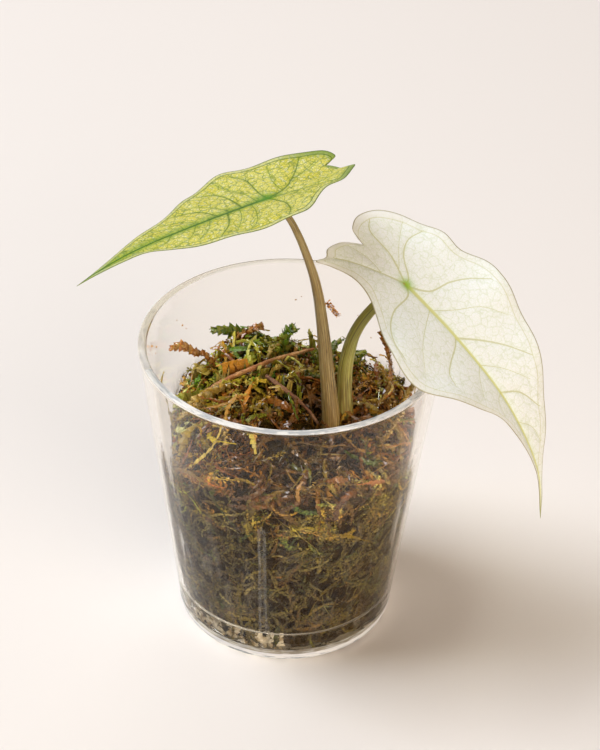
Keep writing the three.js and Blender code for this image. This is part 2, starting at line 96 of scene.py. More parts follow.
# The camera at the photograph's angle: degrees, metres from its target, and focus in pixels
CAMERA_ELEVATION, CAMERA_ROLL, CAMERA_DISTANCE = 35.94, 1.66, 0.5903
CAMERA_TARGET = (0.00251, 0, 0.07482)
CAMERA_FOCUS, PHOTO_HEIGHT, SENSOR = 2241.2, 750, 36

MOSS_CROWN = 71.0
MOSS_EDGE = {
    "mean": 57.4, "lean": 1.5, "lean_turn": 20, "dip": 3.5, "dip_turn": 152, "dip_spread": 35,
}
MOSS_BUMPS = ((-13, 14, 9.0, 11), (5, -10, -4.5, 9))

LEAF_LEFT = {
    "midrib": [
        (-6.7, -4, 131.2), (-22.9, -15.7, 130.7), (-38.9, -27.5, 129.3), (-46.7, -33.4, 127.2),
        (-51, -36.7, 125.5),
    ],
    "across": (-0.574, 0.802, -0.163),
    "raise_far": (18, -4, 8),
    "raise_near": (17, 3, -5),
    "lobe_lift": 1.2,
    "knot": 2.4,
    "notch": (-19.6, 2.8),
    "far_edge": [
        (-21.7, 3.4), (-23.4, 4.4), (-21.4, 7.7), (-15, 11.5), (-8, 14.8), (0, 18.2), (4, 19),
        (9, 18.2), (15, 15.6), (21, 12.4), (28, 8.8), (35, 6), (43, 2.4), (50, 0.5),
    ],
    "near_edge": [
        (-20.6, 1.9), (-22.3, -0.3), (-24.1, -3.7), (-20.1, -8), (-15.8, -10.9), (-11.5, -10.6),
        (-7, -13.4), (-2.8, -16.5), (2, -18.8), (6, -18.7), (13, -16), (20, -13.7),
        (26.6, -10.6), (32, -7), (37, -3.2), (43, -2), (50, -0.9),
    ],
    "waves": (0.5, 15, 0.6),
    "veins": [
        [(0, 0), (-9, -3.5), (-15.1, -8.4)],
        [(0, 0), (-6.2, 1.5), (-12.1, 5.6), (-15.5, 9)],
        [(0, 0), (0.2, 3.3), (-0.9, 11.7), (0.9, 15.7)],
        [(7.5, 0), (7.2, 6.8), (8.5, 12), (11.5, 15)],
        [(14.5, 0), (16.4, 5.7), (22.1, 9.7)],
        [(0, 0), (-0.2, -7.7), (1.9, -13.4), (4.4, -16.7)],
        [(11.9, 0), (16, -7.1), (20.6, -11.2)],
    ],
    "faint": [
        [(24, 0), (27.5, 4), (33, 5.8)], [(3, 0), (3.2, 6), (5, 11), (5.5, 15.5)],
        [(11, 0), (12.5, 5), (16, 9.5)], [(20, 0), (22.5, 4), (27, 6.8)],
        [(31, 0), (34, 2.4), (38, 3.2)], [(5, 0), (7.5, -6.5), (11.5, -12.5), (15, -14)],
        [(8.5, 0), (11.5, -6), (16.5, -12)], [(17, 0), (20.5, -5), (25, -8)],
        [(21, 0), (25.5, -5), (31, -6.5)], [(28, 0), (31.5, -3), (36, -3.2)],
        [(-4, -1.4), (-6.5, -6.5), (-8, -11)], [(-5, 1.2), (-5.5, 6), (-8, 12)],
        [(-9, 3.5), (-13, 4), (-18, 5.5)], [(-10, -4.2), (-14, -4), (-19, -3.5)],
    ],
    "palette": {
        "blade": (250, 242, 136), "patch": (240, 230, 98), "speck": (254, 252, 214),
        "net": (118, 146, 34), "halo": (146, 184, 48), "vein": (90, 126, 34), "rib": (80, 128, 46),
        "knot": (96, 168, 30), "band": (232, 234, 190), "margin": (92, 116, 42),
        "tip": (160, 166, 62), "under": (214, 214, 130), "lobe": (134, 166, 52),
    },
    "look": {
        "midrib": 0.7, "length": 58.0, "submargin": 0.9, "cell": 2.4, "net": 0.85, "fleck": 0.7,
        "halo": 0.8, "halo_reach": 3.2, "band": 0.5, "submarginal": 0.8, "knot": 0.7,
        "through": 0.35, "laterals": 0.75,
    },
}
LEAF_RIGHT = {
    "midrib": [
        (28.6, -2, 105.8), (42.6, -10.2, 94.4), (55.4, -17.4, 80.7), (64.3, -21.8, 63.6),
        (66.8, -22, 46.5),
    ],
    "across": (0.546, 0.835, 0.071),
    "raise_far": (1, 19, 15),
    "raise_near": (-5, 13, 17),
    "lobe_lift": 0.0,
    "knot": 1.7,
    "notch": (-14.6, -1.2),
    "far_edge": [
        (-17.3, -0.7), (-19.6, 0), (-21, 4), (-19, 9.7), (-14, 14.4), (-8, 17.1), (-3, 19),
        (3, 19), (10, 22.2), (16, 21.6), (24, 19.5), (31, 17.6), (38.4, 14.1), (45, 10.3),
        (52, 6.6), (58, 2.9), (64, 1), (71, 0.7),
    ],
    "near_edge": [
        (-16.3, -2.8), (-18.9, -6.1), (-19.9, -10.4), (-18.6, -12.6), (-19.6, -15.8),
        (-16.4, -13.9), (-10.3, -11.9), (-4.4, -12.6), (1, -15.6), (7, -20.8), (13, -24.4),
        (18, -25.5), (23, -23.8), (29, -18.2), (35, -12.2), (41, -6.4), (48, -3.8), (56, -1.8),
        (64, -0.8), (71, -0.5),
    ],
    "waves": (0.6, 19, 2.1),
    "veins": [
        [(0, 0), (-8, 2.8), (-16.3, 3.6), (-18.2, 5.9)],
        [(0, 0), (-5.1, -3), (-13.6, -8.4), (-17, -11)],
        [(0, 0), (-0.2, 1.5), (-5.7, 5.7), (-7.7, 10), (-6.9, 15.1)],
        [(0.5, 0), (2.6, -2.3), (3, -9.7), (5.1, -14.9), (9.3, -19.6), (13.7, -21.3)],
        [(1, 0), (5.7, 3.7), (7.6, 9.8), (10.4, 14.7), (14.1, 18.6)],
        [(18.5, 0), (20, -2.3), (22.5, -9.6), (24.1, -12.5), (26.7, -13.8)],
        [(19, 0), (23.5, 4.7), (28.7, 9.3), (34.7, 13.2)],
        [(36.9, 0), (40, 4.6), (46, 7.6)],
    ],
    "faint": [
        [(9, 0), (11.5, -6.5), (14.5, -13), (19, -18.5)],
        [(9.5, 0), (13.5, 5), (17.5, 11), (23.5, 15.5)],
        [(28, 0), (30.5, -4), (34, -7.5)], [(28, 0), (32.5, 4.5), (39, 9)],
        [(36.9, 0), (38.1, -3.1), (41.5, -4.2)], [(46, 0), (49.5, 3), (54, 3.6)],
        [(-4, 1.8), (-8.5, 7), (-12, 13)], [(-6, -3.6), (-11, -3.4), (-17, -5)],
    ],
    "palette": {
        "blade": (252, 255, 254), "patch": (250, 253, 250), "speck": (255, 255, 255),
        "net": (214, 222, 192), "halo": (232, 242, 220), "vein": (208, 208, 158),
        "rib": (222, 222, 146), "knot": (150, 196, 44), "band": (248, 246, 236),
        "margin": (166, 154, 100), "tip": (168, 170, 96), "under": (248, 248, 238),
        "lobe": (255, 255, 255),
    },
    "look": {
        "midrib": 0.8, "length": 78.0, "submargin": 1.7, "cell": 2.4, "net": 0.55, "fleck": 0.5,
        "halo": 0.5, "halo_reach": 2.2, "band": 0.3, "submarginal": 0.5, "knot": 0.9,
        "through": 0.14, "laterals": 0.8,
    },
}

STALK_LEFT = {
    "path": [
        (11, -10, 58), (11, -9.4, 67.4), (9.8, -8.4, 79), (7.7, -6.9, 97.3), (5.7, -5.9, 108.3),
        (2.7, -5.2, 117.3), (-1, -4.5, 125.5), (-6.2, -4, 131.6),
    ],
    "radii": [2.6, 2.35, 1.95, 1.5, 1.2, 0.98, 0.85, 0.8],
    "palette": {
        "skin": (160, 140, 86), "patch": (150, 126, 70), "line": (62, 42, 20),
        "dash": (104, 78, 42), "light": (190, 170, 116), "foot": (114, 92, 48),
    },
}
STALK_RIGHT = {
    "path": [
        (15.8, -5, 58), (14.6, -5, 66.8), (14.2, -4, 79.1), (15, -3.5, 85.8), (16.7, -3, 91.9),
        (21, -2.5, 98.8), (24.6, -2.2, 102.4), (29, -2, 106.2),
    ],
    "radii": [2.6, 2.3, 1.9, 1.75, 1.55, 1.35, 1.2, 1.1],
    "palette": {
        "skin": (176, 172, 80), "patch": (160, 156, 68), "line": (84, 74, 30),
        "dash": (118, 100, 46), "light": (190, 186, 108), "foot": (98, 72, 30),
    },
}
TWIG_LONG = {
    "path": [
        (5.9, 18, 70.6), (-0.3, 13.2, 71.8), (-5.6, 8, 73.3), (-10.8, 4.5, 73), (-16.1, 4.1, 70.2),
        (-22.7, 3.4, 65.5), (-26.7, 1.9, 62.4),
    ],
    "radii": [0.45, 0.48, 0.52, 0.6, 0.78, 0.7, 0.45],
    "palette": {"bark": (178, 116, 64), "light": (220, 166, 106), "dark": (92, 50, 24)},
    "seed": 112,
}
TWIG_THIN = {
    "path": [
        (-6.3, 3, 72), (-1.3, -1.7, 71.1), (2.7, -4.2, 69.1), (5.4, -5.7, 67), (7.6, -8.3, 65.2),
    ],
    "radii": [0.45, 0.6, 0.55, 0.5, 0.4],
    "palette": {"bark": (124, 76, 46), "light": (176, 126, 86), "dark": (64, 36, 20)},
    "seed": 119,
}
SCRAP_PATH = [(8.9, 34.1, 75), (10.5, 33.5, 74), (12.9, 32.4, 71.5)]

# Sprigs on the skyline of the moss: path, thickness and the name of its colour
SPRIGS = [
    (
        [(-20, 11, 69), (-23, 11.5, 72), (-26, 12, 73), (-30, 14, 73.3), (-33, 14.5, 71.8)], 1.2,
        "rust",
    ),
    ([(-13, 3.5, 70), (-19, 1.5, 68.5), (-25, -1, 65.5), (-30, -3, 61.5)], 1.5, "gold"),
    ([(-23, 4, 65), (-28, 3, 63.5), (-32, 4, 61)], 1.6, "lime"),
    ([(-25, -8, 61), (-20, -15, 61.5), (-14, -19, 60)], 1.3, "olive"),
    ([(-3, 17, 66), (-11, 20.5, 71.8), (-17, 22, 73), (-22, 23, 72.4)], 1.6, "green"),
    ([(-17, 16, 67), (-14, 19, 73.6), (-11, 20, 75.3), (-7.6, 21, 75.6)], 1.2, "rust"),
    ([(1.5, 13, 66), (-1.5, 17, 71.5), (-1.5, 19.5, 74.6), (1, 20, 76.3)], 1.9, "green"),
    ([(8, 15, 64), (6, 18.5, 72), (4.5, 20.5, 75.1)], 1.1, "lime"),
    ([(8, 11, 65), (11, 16.5, 72.4), (13.5, 19, 73.2)], 1.3, "green"),
    ([(11, 9, 66), (16, 14, 71.6), (20, 16, 71)], 1.5, "green"),
    ([(27, 8, 64), (26.5, 11.5, 72), (25, 14, 76.4), (23.6, 15, 79.3)], 0.9, "rust"),
    ([(-22, 8, 68.5), (-25, 10.5, 69), (-25.3, 11, 65), (-22.5, 9, 61)], 1.2, "olive"),
    ([(-29, -6, 58), (-33, -2, 66), (-34.2, 2, 69.5), (-33.8, 5, 71)], 0.5, "olive"),
    (
        [
            (24, -12, 63), (28, -17, 76), (30, -19.4, 84.5), (32.2, -20.8, 87.6),
            (35, -22.4, 87.2), (36, -23.2, 84.4),
        ],
        0.8, "gold",
    ),
]

# Crumbs stuck to the inside of the wall: turn in degrees, height and size
CRUMBS = [
    (175.2, 80.6, 1.0), (169.4, 77.8, 1.1), (171.5, 76.6, 0.7), (177, 78.5, 0.6),
    (156.2, 82.2, 0.4), (148.5, 78, 0.6), (145.2, 75.3, 0.8), (143, 73.6, 0.5), (88.8, 74.3, 0.7),
    (86.4, 75.4, 0.5), (60, 73, 0.5), (-168, 78, 0.5), (52, 68, 0.6), (40, 74, 0.5),
]

MOSS_COLOURS = {
    "gold": [(224, 180, 80), (238, 206, 118), (188, 152, 48), (242, 218, 150), (162, 126, 32)],
    "olive": [(184, 162, 58), (162, 142, 38), (202, 178, 84), (140, 122, 30), (214, 192, 116)],
    "brown": [(170, 104, 34), (140, 78, 20), (198, 138, 60), (110, 58, 14), (210, 162, 90)],
    "rust": [(206, 128, 54), (172, 102, 34), (224, 168, 96), (142, 80, 24), (190, 148, 66)],
    "green": [(122, 152, 36), (84, 130, 28), (168, 180, 66), (140, 138, 36), (70, 112, 26)],
    "lime": [(192, 196, 76), (166, 178, 58), (212, 206, 106), (146, 158, 44), (180, 170, 72)],
    "amber": [(224, 144, 40), (202, 128, 38), (234, 176, 80), (176, 110, 30), (216, 158, 82)],
}
# the dull olive that moss at the wall turns to lower down: painted shade
LOW_SHADE_COLOUR = (112, 98, 44)
CRUMB_COLOUR = (244, 190, 120)
SCRAP_COLOUR = (244, 172, 88)


def linear(rgb):
    """An 8-bit screen colour as Blender's linear one."""
    c = np.asarray(rgb, float) / 255
    return np.where(c <= 0.04045, c / 12.92, ((c + 0.055) / 1.055) ** 2.4)


def rgba(rgb):
    return (*(float(c) for c in linear(rgb)), 1.0)


# ---- Curves and meshes ----


def curve_through(points, centripetal=True, steps=24):
    """Dense points on the smooth curve through the given ones."""
    p = np.asarray(points, float)
    ends = (2 * p[0] - p[1], 2 * p[-1] - p[-2]) if centripetal else (p[0], p[-1])
    p = np.vstack([ends[0], p, ends[1]])
    t = np.linspace(0, 1, steps, endpoint=False)[:, None]
    rows = []
    for a, b, c, d in zip(p, p[1:], p[2:], p[3:]):
        if centripetal:
            u, v, w = (max(np.linalg.norm(q), 1e-6) ** 0.5 for q in (b - a, c - b, d - c))
            leave = ((b - a) / u - (c - a) / (u + v) + (c - b) / v) * v
            arrive = ((c - b) / v - (d - b) / (v + w) + (d - c) / w) * v
        else:
            leave, arrive = (c - a) / 2, (d - b) / 2
        rows.append(
            b + leave * t + (3 * (c - b) - 2 * leave - arrive) * t**2
            + (2 * (b - c) + leave + arrive) * t**3
        )
    rows.append(p[-2][None])
    return np.vstack(rows)


def lengths_along(curve):
    return np.concatenate([[0], np.cumsum(np.linalg.norm(np.diff(curve, axis=0), axis=1))])


def at_fraction(curve, fractions, values=None):
    """Points at fractions of a dense curve's length, or values that go with its points."""
    run = lengths_along(curve)
    place = np.asarray(fractions, float) * run[-1]
    values = curve if values is None else values
    return np.stack([np.interp(place, run, column) for column in values.T], -1)


def evenly(values, count):
    """The values resampled at count even steps."""
    return np.interp(np.linspace(0, 1, count), np.linspace(0, 1, len(values)), values)


def unit(vectors):
    return vectors / np.linalg.norm(vectors, axis=-1)[..., None]


def tangents(points):
    return unit(np.gradient(points, axis=0))


def cross_frames(points):
    """The direction along the path at each point and two across it, carried along without twist."""
    t = tangents(points)
    side = np.cross(t[0], (0, 0, 1))
    if np.linalg.norm(side) < 1e-3:
        side = np.cross(t[0], (1, 0, 0))
    sides = []
    for tangent in t:
        side = side - tangent * side.dot(tangent)
        side = side / np.linalg.norm(side)
        sides.append(side)
    return t, np.array(sides), np.cross(t, sides)


def ring_quads(rings, sides):
    """Quads between rings of vertices that are numbered ring by ring."""
    r = np.arange(rings - 1)[:, None] * sides
    c = np.arange(sides)[None]
    d = (c + 1) % sides
    return np.stack([r + c, r + d, r + sides + d, r + sides + c], -1).reshape(-1, 4)


def tube_faces(rings, sides):
    """The faces of a tube of rings, closed with a flat face at both ends."""
    ends = [list(range(sides))[::-1], [(rings - 1) * sides + k for k in range(sides)]]
    return [list(quad) for quad in ring_quads(rings, sides)] + ends


def fanned_faces(rings, sides, low, high):
    """The faces of a shape of rings, closed with a fan to the vertex low and one to high."""
    faces = [list(quad) for quad in ring_quads(rings, sides)]
    last = (rings - 1) * sides
    for k in range(sides):
        following = (k + 1) % sides
        faces += [[following, k, low], [last + k, last + following, high]]
    return faces


def new_mesh(name, points, faces, attributes=None, uv=None, smooth=True):
    """A mesh object from points in millimetres. Each attribute has a value for every point."""
    mesh = bpy.data.meshes.new(name)
    places = (np.asarray(points, float) * MM).tolist()
    mesh.from_pydata(places, [], [[int(v) for v in face] for face in faces])
    mesh.update()
    mesh.shade_smooth() if smooth else mesh.shade_flat()
    for key, values in (attributes or {}).items():
        store(mesh, key, values)
    if uv is not None:
        corner = np.empty(len(mesh.loops), int)
        mesh.loops.foreach_get("vertex_index", corner)
        layer = mesh.uv_layers.new(name="plan")
        layer.data.foreach_set("uv", np.asarray(uv, np.float32)[corner].ravel())
    piece = bpy.data.objects.new(name, mesh)
    bpy.context.scene.collection.objects.link(piece)
    return piece


def store(mesh, key, values):
    """Keeps a value, vector or colour for each vertex in a named attribute."""
    values = np.asarray(values, np.float32)
    size = 1 if values.ndim == 1 else values.shape[1]
    kinds = {1: ("FLOAT", "value"), 3: ("FLOAT_VECTOR", "vector"), 4: ("FLOAT_COLOR", "color")}
    kind, field = kinds[size]
    mesh.attributes.new(key, kind, "POINT").data.foreach_set(field, values.ravel())


def vertex_places(mesh):
    """A mesh's vertices in millimetres."""
    flat = np.empty(len(mesh.vertices) * 3, np.float32)
    mesh.vertices.foreach_get("co", flat)
    return flat.reshape(-1, 3).astype(float) / MM


def finish_piece(piece, material, slot, *nodes):
    """Gives a piece its material, its body and the CAD nodes it stands for. slot is not used."""
    piece.data.materials.clear()
    piece.data.materials.append(material)
    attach(piece, "root")
    if nodes:
        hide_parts(*nodes)


def fractal(points, scale, octaves, seed):
    """Soft noise from about -1 to 1 at each point, with features scale millimetres across."""
    shift = Vector((seed, 3 * seed, 7 * seed))
    return np.array([noise.fractal(Vector(p) / scale + shift, 1.0, 2.0, octaves) for p in points])


def rounded_rod(path, radii, sides, rings, cap=3, ridges=None):
    """A closed rod along a path, with rounded ends.

    ridges turns (turns, along) into a share to add to the radius. Returns the points, the faces,
    and how far along the rod and at what turn round it each point is.
    """
    dense = curve_through(path)
    length = lengths_along(dense)[-1]
    body = np.linspace(0, 1, rings)
    centre = at_fraction(dense, body)
    radius = at_fraction(dense, body, evenly(radii, len(dense))[:, None])[:, 0]
    t, side, up = cross_frames(centre)
    angles = np.linspace(0, math.pi / 2, cap + 1)[:-1]
    shifts = [(0, -radius[0] * math.cos(a), math.sin(a)) for a in angles]
    shifts += [(k, 0.0, 1.0) for k in range(rings)]
    shifts += [(rings - 1, radius[-1] * math.cos(a), math.sin(a)) for a in angles[::-1]]
    turns = np.linspace(0, 2 * math.pi, sides, endpoint=False)
    points, along = [], []
    for k, shift, share in shifts:
        far = body[k] * length + shift
        swell = 1.0 if ridges is None else 1 + ridges(turns, far)
        r = radius[k] * max(share, 1e-3) * swell * np.ones(sides)
        ring = centre[k] + t[k] * shift + (np.cos(turns) * r)[:, None] * side[k]
        points.append(ring + (np.sin(turns) * r)[:, None] * up[k])
        along.append(np.full(sides, far))
    faces = tube_faces(len(shifts), sides)
    return np.vstack(points), faces, np.concatenate(along), np.tile(turns, len(shifts))


# ---- Nodes ----


class Graph:
    """A node tree, with short calls for the nodes that this script uses."""

    def __init__(self, tree):
        self.tree = tree

    def feed(self, socket, value):
        """Links a socket to another one, or sets its value."""
        if isinstance(value, bpy.types.NodeSocket):
            self.tree.links.new(value, socket)
        else:
            socket.default_value = value

    def node(self, kind, settings=None, **inputs):
        """A node. In the name of an input _ is a blank, and n0, n1... pick it by its place."""
        node = self.tree.nodes.new(kind if "Node" in kind else "ShaderNode" + kind)
        for key, value in (settings or {}).items():
            setattr(node, key, value)
        for key, value in inputs.items():
            numbered = key[0] == "n" and key[1:].isdigit()
            self.feed(node.inputs[int(key[1:]) if numbered else key.replace("_", " ")], value)
        return node

    def maths(self, operation, a, b=0.0, clamp=False):
        settings = {"operation": operation, "use_clamp": clamp}
        return self.node("Math", settings, n0=a, n1=b).outputs[0]

    def times(self, a, b):
        return self.maths("MULTIPLY", a, b)

    def vector(self, operation, a, **inputs):
        outputs = self.node("VectorMath", {"operation": operation}, n0=a, **inputs).outputs
        return outputs["Value" if operation == "LENGTH" else "Vector"]

    def split(self, vector):
        return tuple(self.node("SeparateXYZ", Vector=vector).outputs)

    def combine(self, x=0.0, y=0.0, z=0.0):
        return self.node("CombineXYZ", X=x, Y=y, Z=z).outputs[0]

    def noise(self, vector, scale, detail, output="Fac", **inputs):
        node = self.node("TexNoise", Vector=vector, Scale=scale, Detail=detail, **inputs)
        return node.outputs[output]

    def attribute(self, key, output="Fac"):
        return self.node("Attribute", {"attribute_name": key}).outputs[output]

    def place(self):
        return self.node("TexCoord").outputs["Object"]

    def spread(self, value, low, high, start=0.0, end=1.0):
        """value's range from low to high stretched smoothly over start to end."""
        node = self.node(
            "MapRange", {"interpolation_type": "SMOOTHSTEP"}, Value=value, From_Min=low,
            From_Max=high, To_Min=start, To_Max=end,
        )
        return node.outputs[0]

    def fade(self, value, low, high, start=1.0):
        return self.spread(value, low, high, start, 0.0)

    def blend(self, share, a, b):
        """The colours a and b mixed by share. Three numbers are an 8-bit screen colour."""
        a, b = (rgba(c) if isinstance(c, tuple) and len(c) == 3 else c for c in (a, b))
        return self.node("Mix", {"data_type": "RGBA"}, n0=share, n6=a, n7=b).outputs[2]


class Skin(Graph):
    """A material with a Principled shader, and the colour that is painted for it step by step."""

    def __init__(self, name, colour):
        self.material = bpy.data.materials.new(name)
        self.material.use_nodes = True
        super().__init__(self.material.node_tree)
        self.shader = self.tree.nodes["Principled BSDF"]
        self.colour = colour

    def paint(self, share, tone):
        self.colour = self.blend(share, self.colour, tone)

    def bump(self, height, strength, distance, invert=False):
        settings = {"invert": invert}
        node = self.node("Bump", settings, Height=height, Strength=strength, Distance=distance)
        self.feed(self.shader.inputs["Normal"], node.outputs[0])

    def mix_in(self, share, shader):
        """Mixes another shader in before the output."""
        mixed = self.node("MixShader", n0=share, n1=self.shader.outputs[0], n2=shader.outputs[0])
        self.feed(self.tree.nodes["Material Output"].inputs["Surface"], mixed.outputs[0])

    def glow_through(self, share):
        """Lets part of the light through a thin piece, in its colour."""
        self.mix_in(share, self.node("BsdfTranslucent", Color=self.colour))

    def finish(self, **inputs):
        """Gives the shader the colour and the other inputs, and returns the material."""
        for key, value in {"Base_Color": self.colour, **inputs}.items():
            self.feed(self.shader.inputs[key.replace("_", " ")], value)
        return self.material


def effect(name, inputs, outputs):
    """Turns a function that fills a shader node group into one that places it in a graph.

    inputs gives each input's default, or None for a vector. The group is made once. Placing it
    returns its outputs in their order.
    """

    def wrap(fill):
        def place(graph, **values):
            group = bpy.data.node_groups.get(name) or make_group(name, inputs, outputs, fill)
            return tuple(graph.node("ShaderNodeGroup", {"node_tree": group}, **values).outputs)

        return place

    return wrap


def make_group(name, inputs, outputs, fill):
    """A shader node group with named inputs and outputs, filled by a function of its inputs."""
    inner = Graph(bpy.data.node_groups.new(name, "ShaderNodeTree"))
    face = inner.tree.interface
    for key, default in inputs.items():
        kind = "NodeSocketVector" if default is None else "NodeSocketFloat"
        socket = face.new_socket(name=key, in_out="INPUT", socket_type=kind)
        if default is not None:
            socket.default_value = default
    for key in outputs:
        face.new_socket(name=key, in_out="OUTPUT", socket_type="NodeSocketFloat")
    given = inner.node("NodeGroupInput").outputs
    results = fill(inner, *(given[key] for key in inputs))
    out = inner.node("NodeGroupOutput").inputs
    for key, result in zip(outputs, results):
        inner.feed(out[key], result)
    return inner.tree


@effect("leaf net", {"Vector": None, "Cell": 2.0, "Line": 0.1, "Warp": 0.6}, ("Mask", "Height"))
def leaf_net(g, vector, cell, line, warp):
    """The fine net of small veins: a mask of its lines and a height for its cells."""
    shift = g.vector("SUBTRACT", g.noise(vector, 0.6, 2.0, "Color"), n1=(0.5, 0.5, 0.5))
    moved = g.vector("ADD", vector, n1=g.vector("SCALE", shift, Scale=warp))
    size = g.maths("DIVIDE", 1.0, cell)
    cells = g.node("TexVoronoi", {"feature": "DISTANCE_TO_EDGE"}, Vector=moved, Scale=size)
    edge = cells.outputs["Distance"]
    ratio = g.maths("DIVIDE", g.times(edge, cell), line)
    return g.maths("SUBTRACT", 1.0, ratio, clamp=True), g.spread(edge, 0.0, 0.35)


@effect(
    "stalk stripes", {"Vector": None, "Lines": 16.0, "Stretch": 0.06, "Width": 0.1},
    ("Mask", "Field"),
)
def stripes(g, vector, lines, stretch, width):
    """Thin broken lines along a rod, from its grain: their mask, and the field that breaks them."""
    x, y, z = g.split(vector)
    place = g.combine(x, y, g.times(z, stretch))
    turn = g.maths("DIVIDE", g.maths("ARCTAN2", y, x), 2 * math.pi)
    sway = g.times(g.noise(place, 1.6, 2.0), 3.0)
    lane = g.maths("FRACT", g.maths("ADD", g.times(turn, lines), sway))
    off = g.maths("ABSOLUTE", g.maths("SUBTRACT", lane, 0.5))
    breaks = g.noise(place, 5.0, 3.0)
    shown = g.spread(breaks, 0.38, 0.54, 0.15, 1.0)
    return g.times(g.fade(g.maths("DIVIDE", off, width), 0.5, 1.3), shown), breaks


@effect("mottle", {"Vector": None, "Large": 8.0, "Small": 1.0}, ("Blotch", "Speckle"))
def mottle_at(g, vector, *sizes):
    """Uneven colour: blotches of two sizes, in millimetres, from 0 to 1."""
    scales = [g.maths("DIVIDE", 1 / MM, size) for size in sizes]
    return [g.spread(g.noise(vector, scale, 3.0), 0.35, 0.65) for scale in scales]


def mottle(g, large, small):
    return mottle_at(g, Vector=g.place(), Large=large, Small=small)


@effect(
    "leaf lines",
    {
        "Plan": None, "Lateral": 9.0, "Lateral Gap": 9.0, "Rim": 9.0, "Midrib Width": 0.6,
        "Blade Length": 60.0, "Submargin": 1.8,
    },
    ("Midrib", "Laterals", "Submarginal", "Margin", "Along", "Off"),
)
def leaf_lines(g, plan, lateral, gap, rim, midrib_width, length, submargin):
    """A blade's midrib, lateral veins, submarginal vein and margin, and places on it."""
    x, y, _ = g.split(plan)
    along = g.maths("DIVIDE", x, length, clamp=True)
    width = g.times(midrib_width, g.maths("SUBTRACT", 1.0, g.times(along, 0.75)))
    beside = g.maths("DIVIDE", g.maths("ABSOLUTE", y), width)
    midrib = g.times(g.fade(beside, 0.45, 1.0), g.spread(x, -0.6, 0.3))
    line = g.fade(g.maths("ABSOLUTE", lateral), 0.35, 1.15)
    place = g.maths("ADD", submargin, g.times(g.noise(plan, 0.12, 1.0), 1.2))
    away = g.maths("ABSOLUTE", g.maths("SUBTRACT", rim, place))
    behind = g.times(g.maths("MINIMUM", x, 0.0), 0.45)
    return (
        midrib, g.times(line, g.fade(gap, 0.5, 0.68)), g.fade(away, 0.06, 0.24),
        g.fade(rim, 0.08, 0.4), along, g.vector("LENGTH", g.combine(behind, y)),
    )


def earthy_material(name, sizes, tones, flecks=0.0, bump=None, **inputs):
    """A matt surface mottled in two tones, with a share of flecks in a third."""
    skin = Skin(name, tones[0])
    blotch, speckle = mottle(skin, *sizes)
    skin.paint(blotch, tones[1])
    if flecks:
        skin.paint(skin.times(speckle, flecks), tones[2])
    if bump:
        skin.bump(speckle, *bump)
    return skin.finish(**inputs)


# ---- Settings ----


class TumblerSettings(bpy.types.PropertyGroup):
    ior: FloatProperty(
        name="Refraction", description="Refractive index of the clear plastic", default=1.47,
        min=1.3, max=1.8,
    )
    roughness: FloatProperty(
        name="Roughness", description="Micro-roughness of the plastic", default=0.0, min=0, max=0.5,
    )
    # how clear the lip stays in front: the rest of it is a diffuse white, a painted reflection
    lip_clearness: FloatProperty(
        name="Clearness of the rim", description="How clear the whitened lip stays in front",
        default=0.5, min=0, max=1,
    )
    facets: IntProperty(
        name="Facets", description="Steps round the wall", default=168, min=48, max=400,
    )
    tint: FloatVectorProperty(
        name="Tint", description="Colour of the plastic", subtype="COLOR",
        default=(0.99, 0.968, 0.935), min=0, max=1,
    )


class BladeSettings(bpy.types.PropertyGroup):
    middle: FloatProperty(
        name="Thickness", description="Blade thickness at the midrib, in millimetres", default=0.6,
        min=0.3, max=0.7,
    )
    edge: FloatProperty(
        name="Edge thickness", description="Blade thickness at the margin, in millimetres",
        default=0.26, min=0.15, max=0.6,
    )
    rungs: IntProperty(
        name="Rungs", description="Cells along each half of a blade", default=190, min=40, max=260,
    )
    cells: IntProperty(
        name="Cells", description="Cells from the midrib to the margin", default=52, min=8, max=80,
    )
    quilting: FloatProperty(
        name="Quilting", description="Rise of the blade between its veins, in millimetres",
        default=0.22, min=0, max=0.6,
    )


class MossSettings(bpy.types.PropertyGroup):
    top_shoots: IntProperty(
        name="Shoots on top", description="Shoots of each kind scattered over the top", default=720,
        min=50, max=1500,
    )
    wall_shoots: IntProperty(
        name="Shoots at the wall", description="Shoots of each kind pressed against the wall",
        default=1350, min=50, max=1500,
    )
    fronds: IntProperty(
        name="Fronds", description="Broad green leaves at the back left", default=70, min=0,
        max=400,
    )
    ribbons: IntProperty(
        name="Ribbons", description="Flat dead strands", default=170, min=0, max=600,
    )
    fibres: IntProperty(
        name="Fibres", description="Thin loose threads", default=240, min=0, max=600,
    )
    grit: IntProperty(
        name="Grit", description="Pale chips near the base", default=260, min=0, max=900,
    )
    seed: IntProperty(
        name="Seed", description="Seed of everything random in the moss", default=5, min=0, max=999,
    )


class StageSettings(bpy.types.PropertyGroup):
    key: FloatProperty(
        name="Key light", description="Power of the soft key light on the left", subtype="POWER",
        default=28.0, min=0, max=500,
    )
    fill: FloatProperty(
        name="Fill light", description="Strength of the even light all round", default=0.13,
        min=0, max=5,
    )
    floor: FloatVectorProperty(
        name="Floor", description="Colour of the floor", subtype="COLOR",
        default=(0.86, 0.8, 0.755), min=0, max=1,
    )


# ---- The tumbler ----


def outer_radius(z):
    return FOOT_RADIUS + (RIM_RADIUS - FOOT_RADIUS) * z / CUP_HEIGHT


def inner_radius(z):
    return outer_radius(z) - WALL - np.where(np.asarray(z) < LEDGE_HEIGHT, LEDGE_STEP, 0.0)


def arc(radius, z, size, start, end, steps):
    """Points on a rounded corner of the profile, from one angle in degrees to another."""
    angles = np.radians(np.linspace(start, end, steps))
    return [(radius + size * math.cos(a), z + size * math.sin(a)) for a in angles]


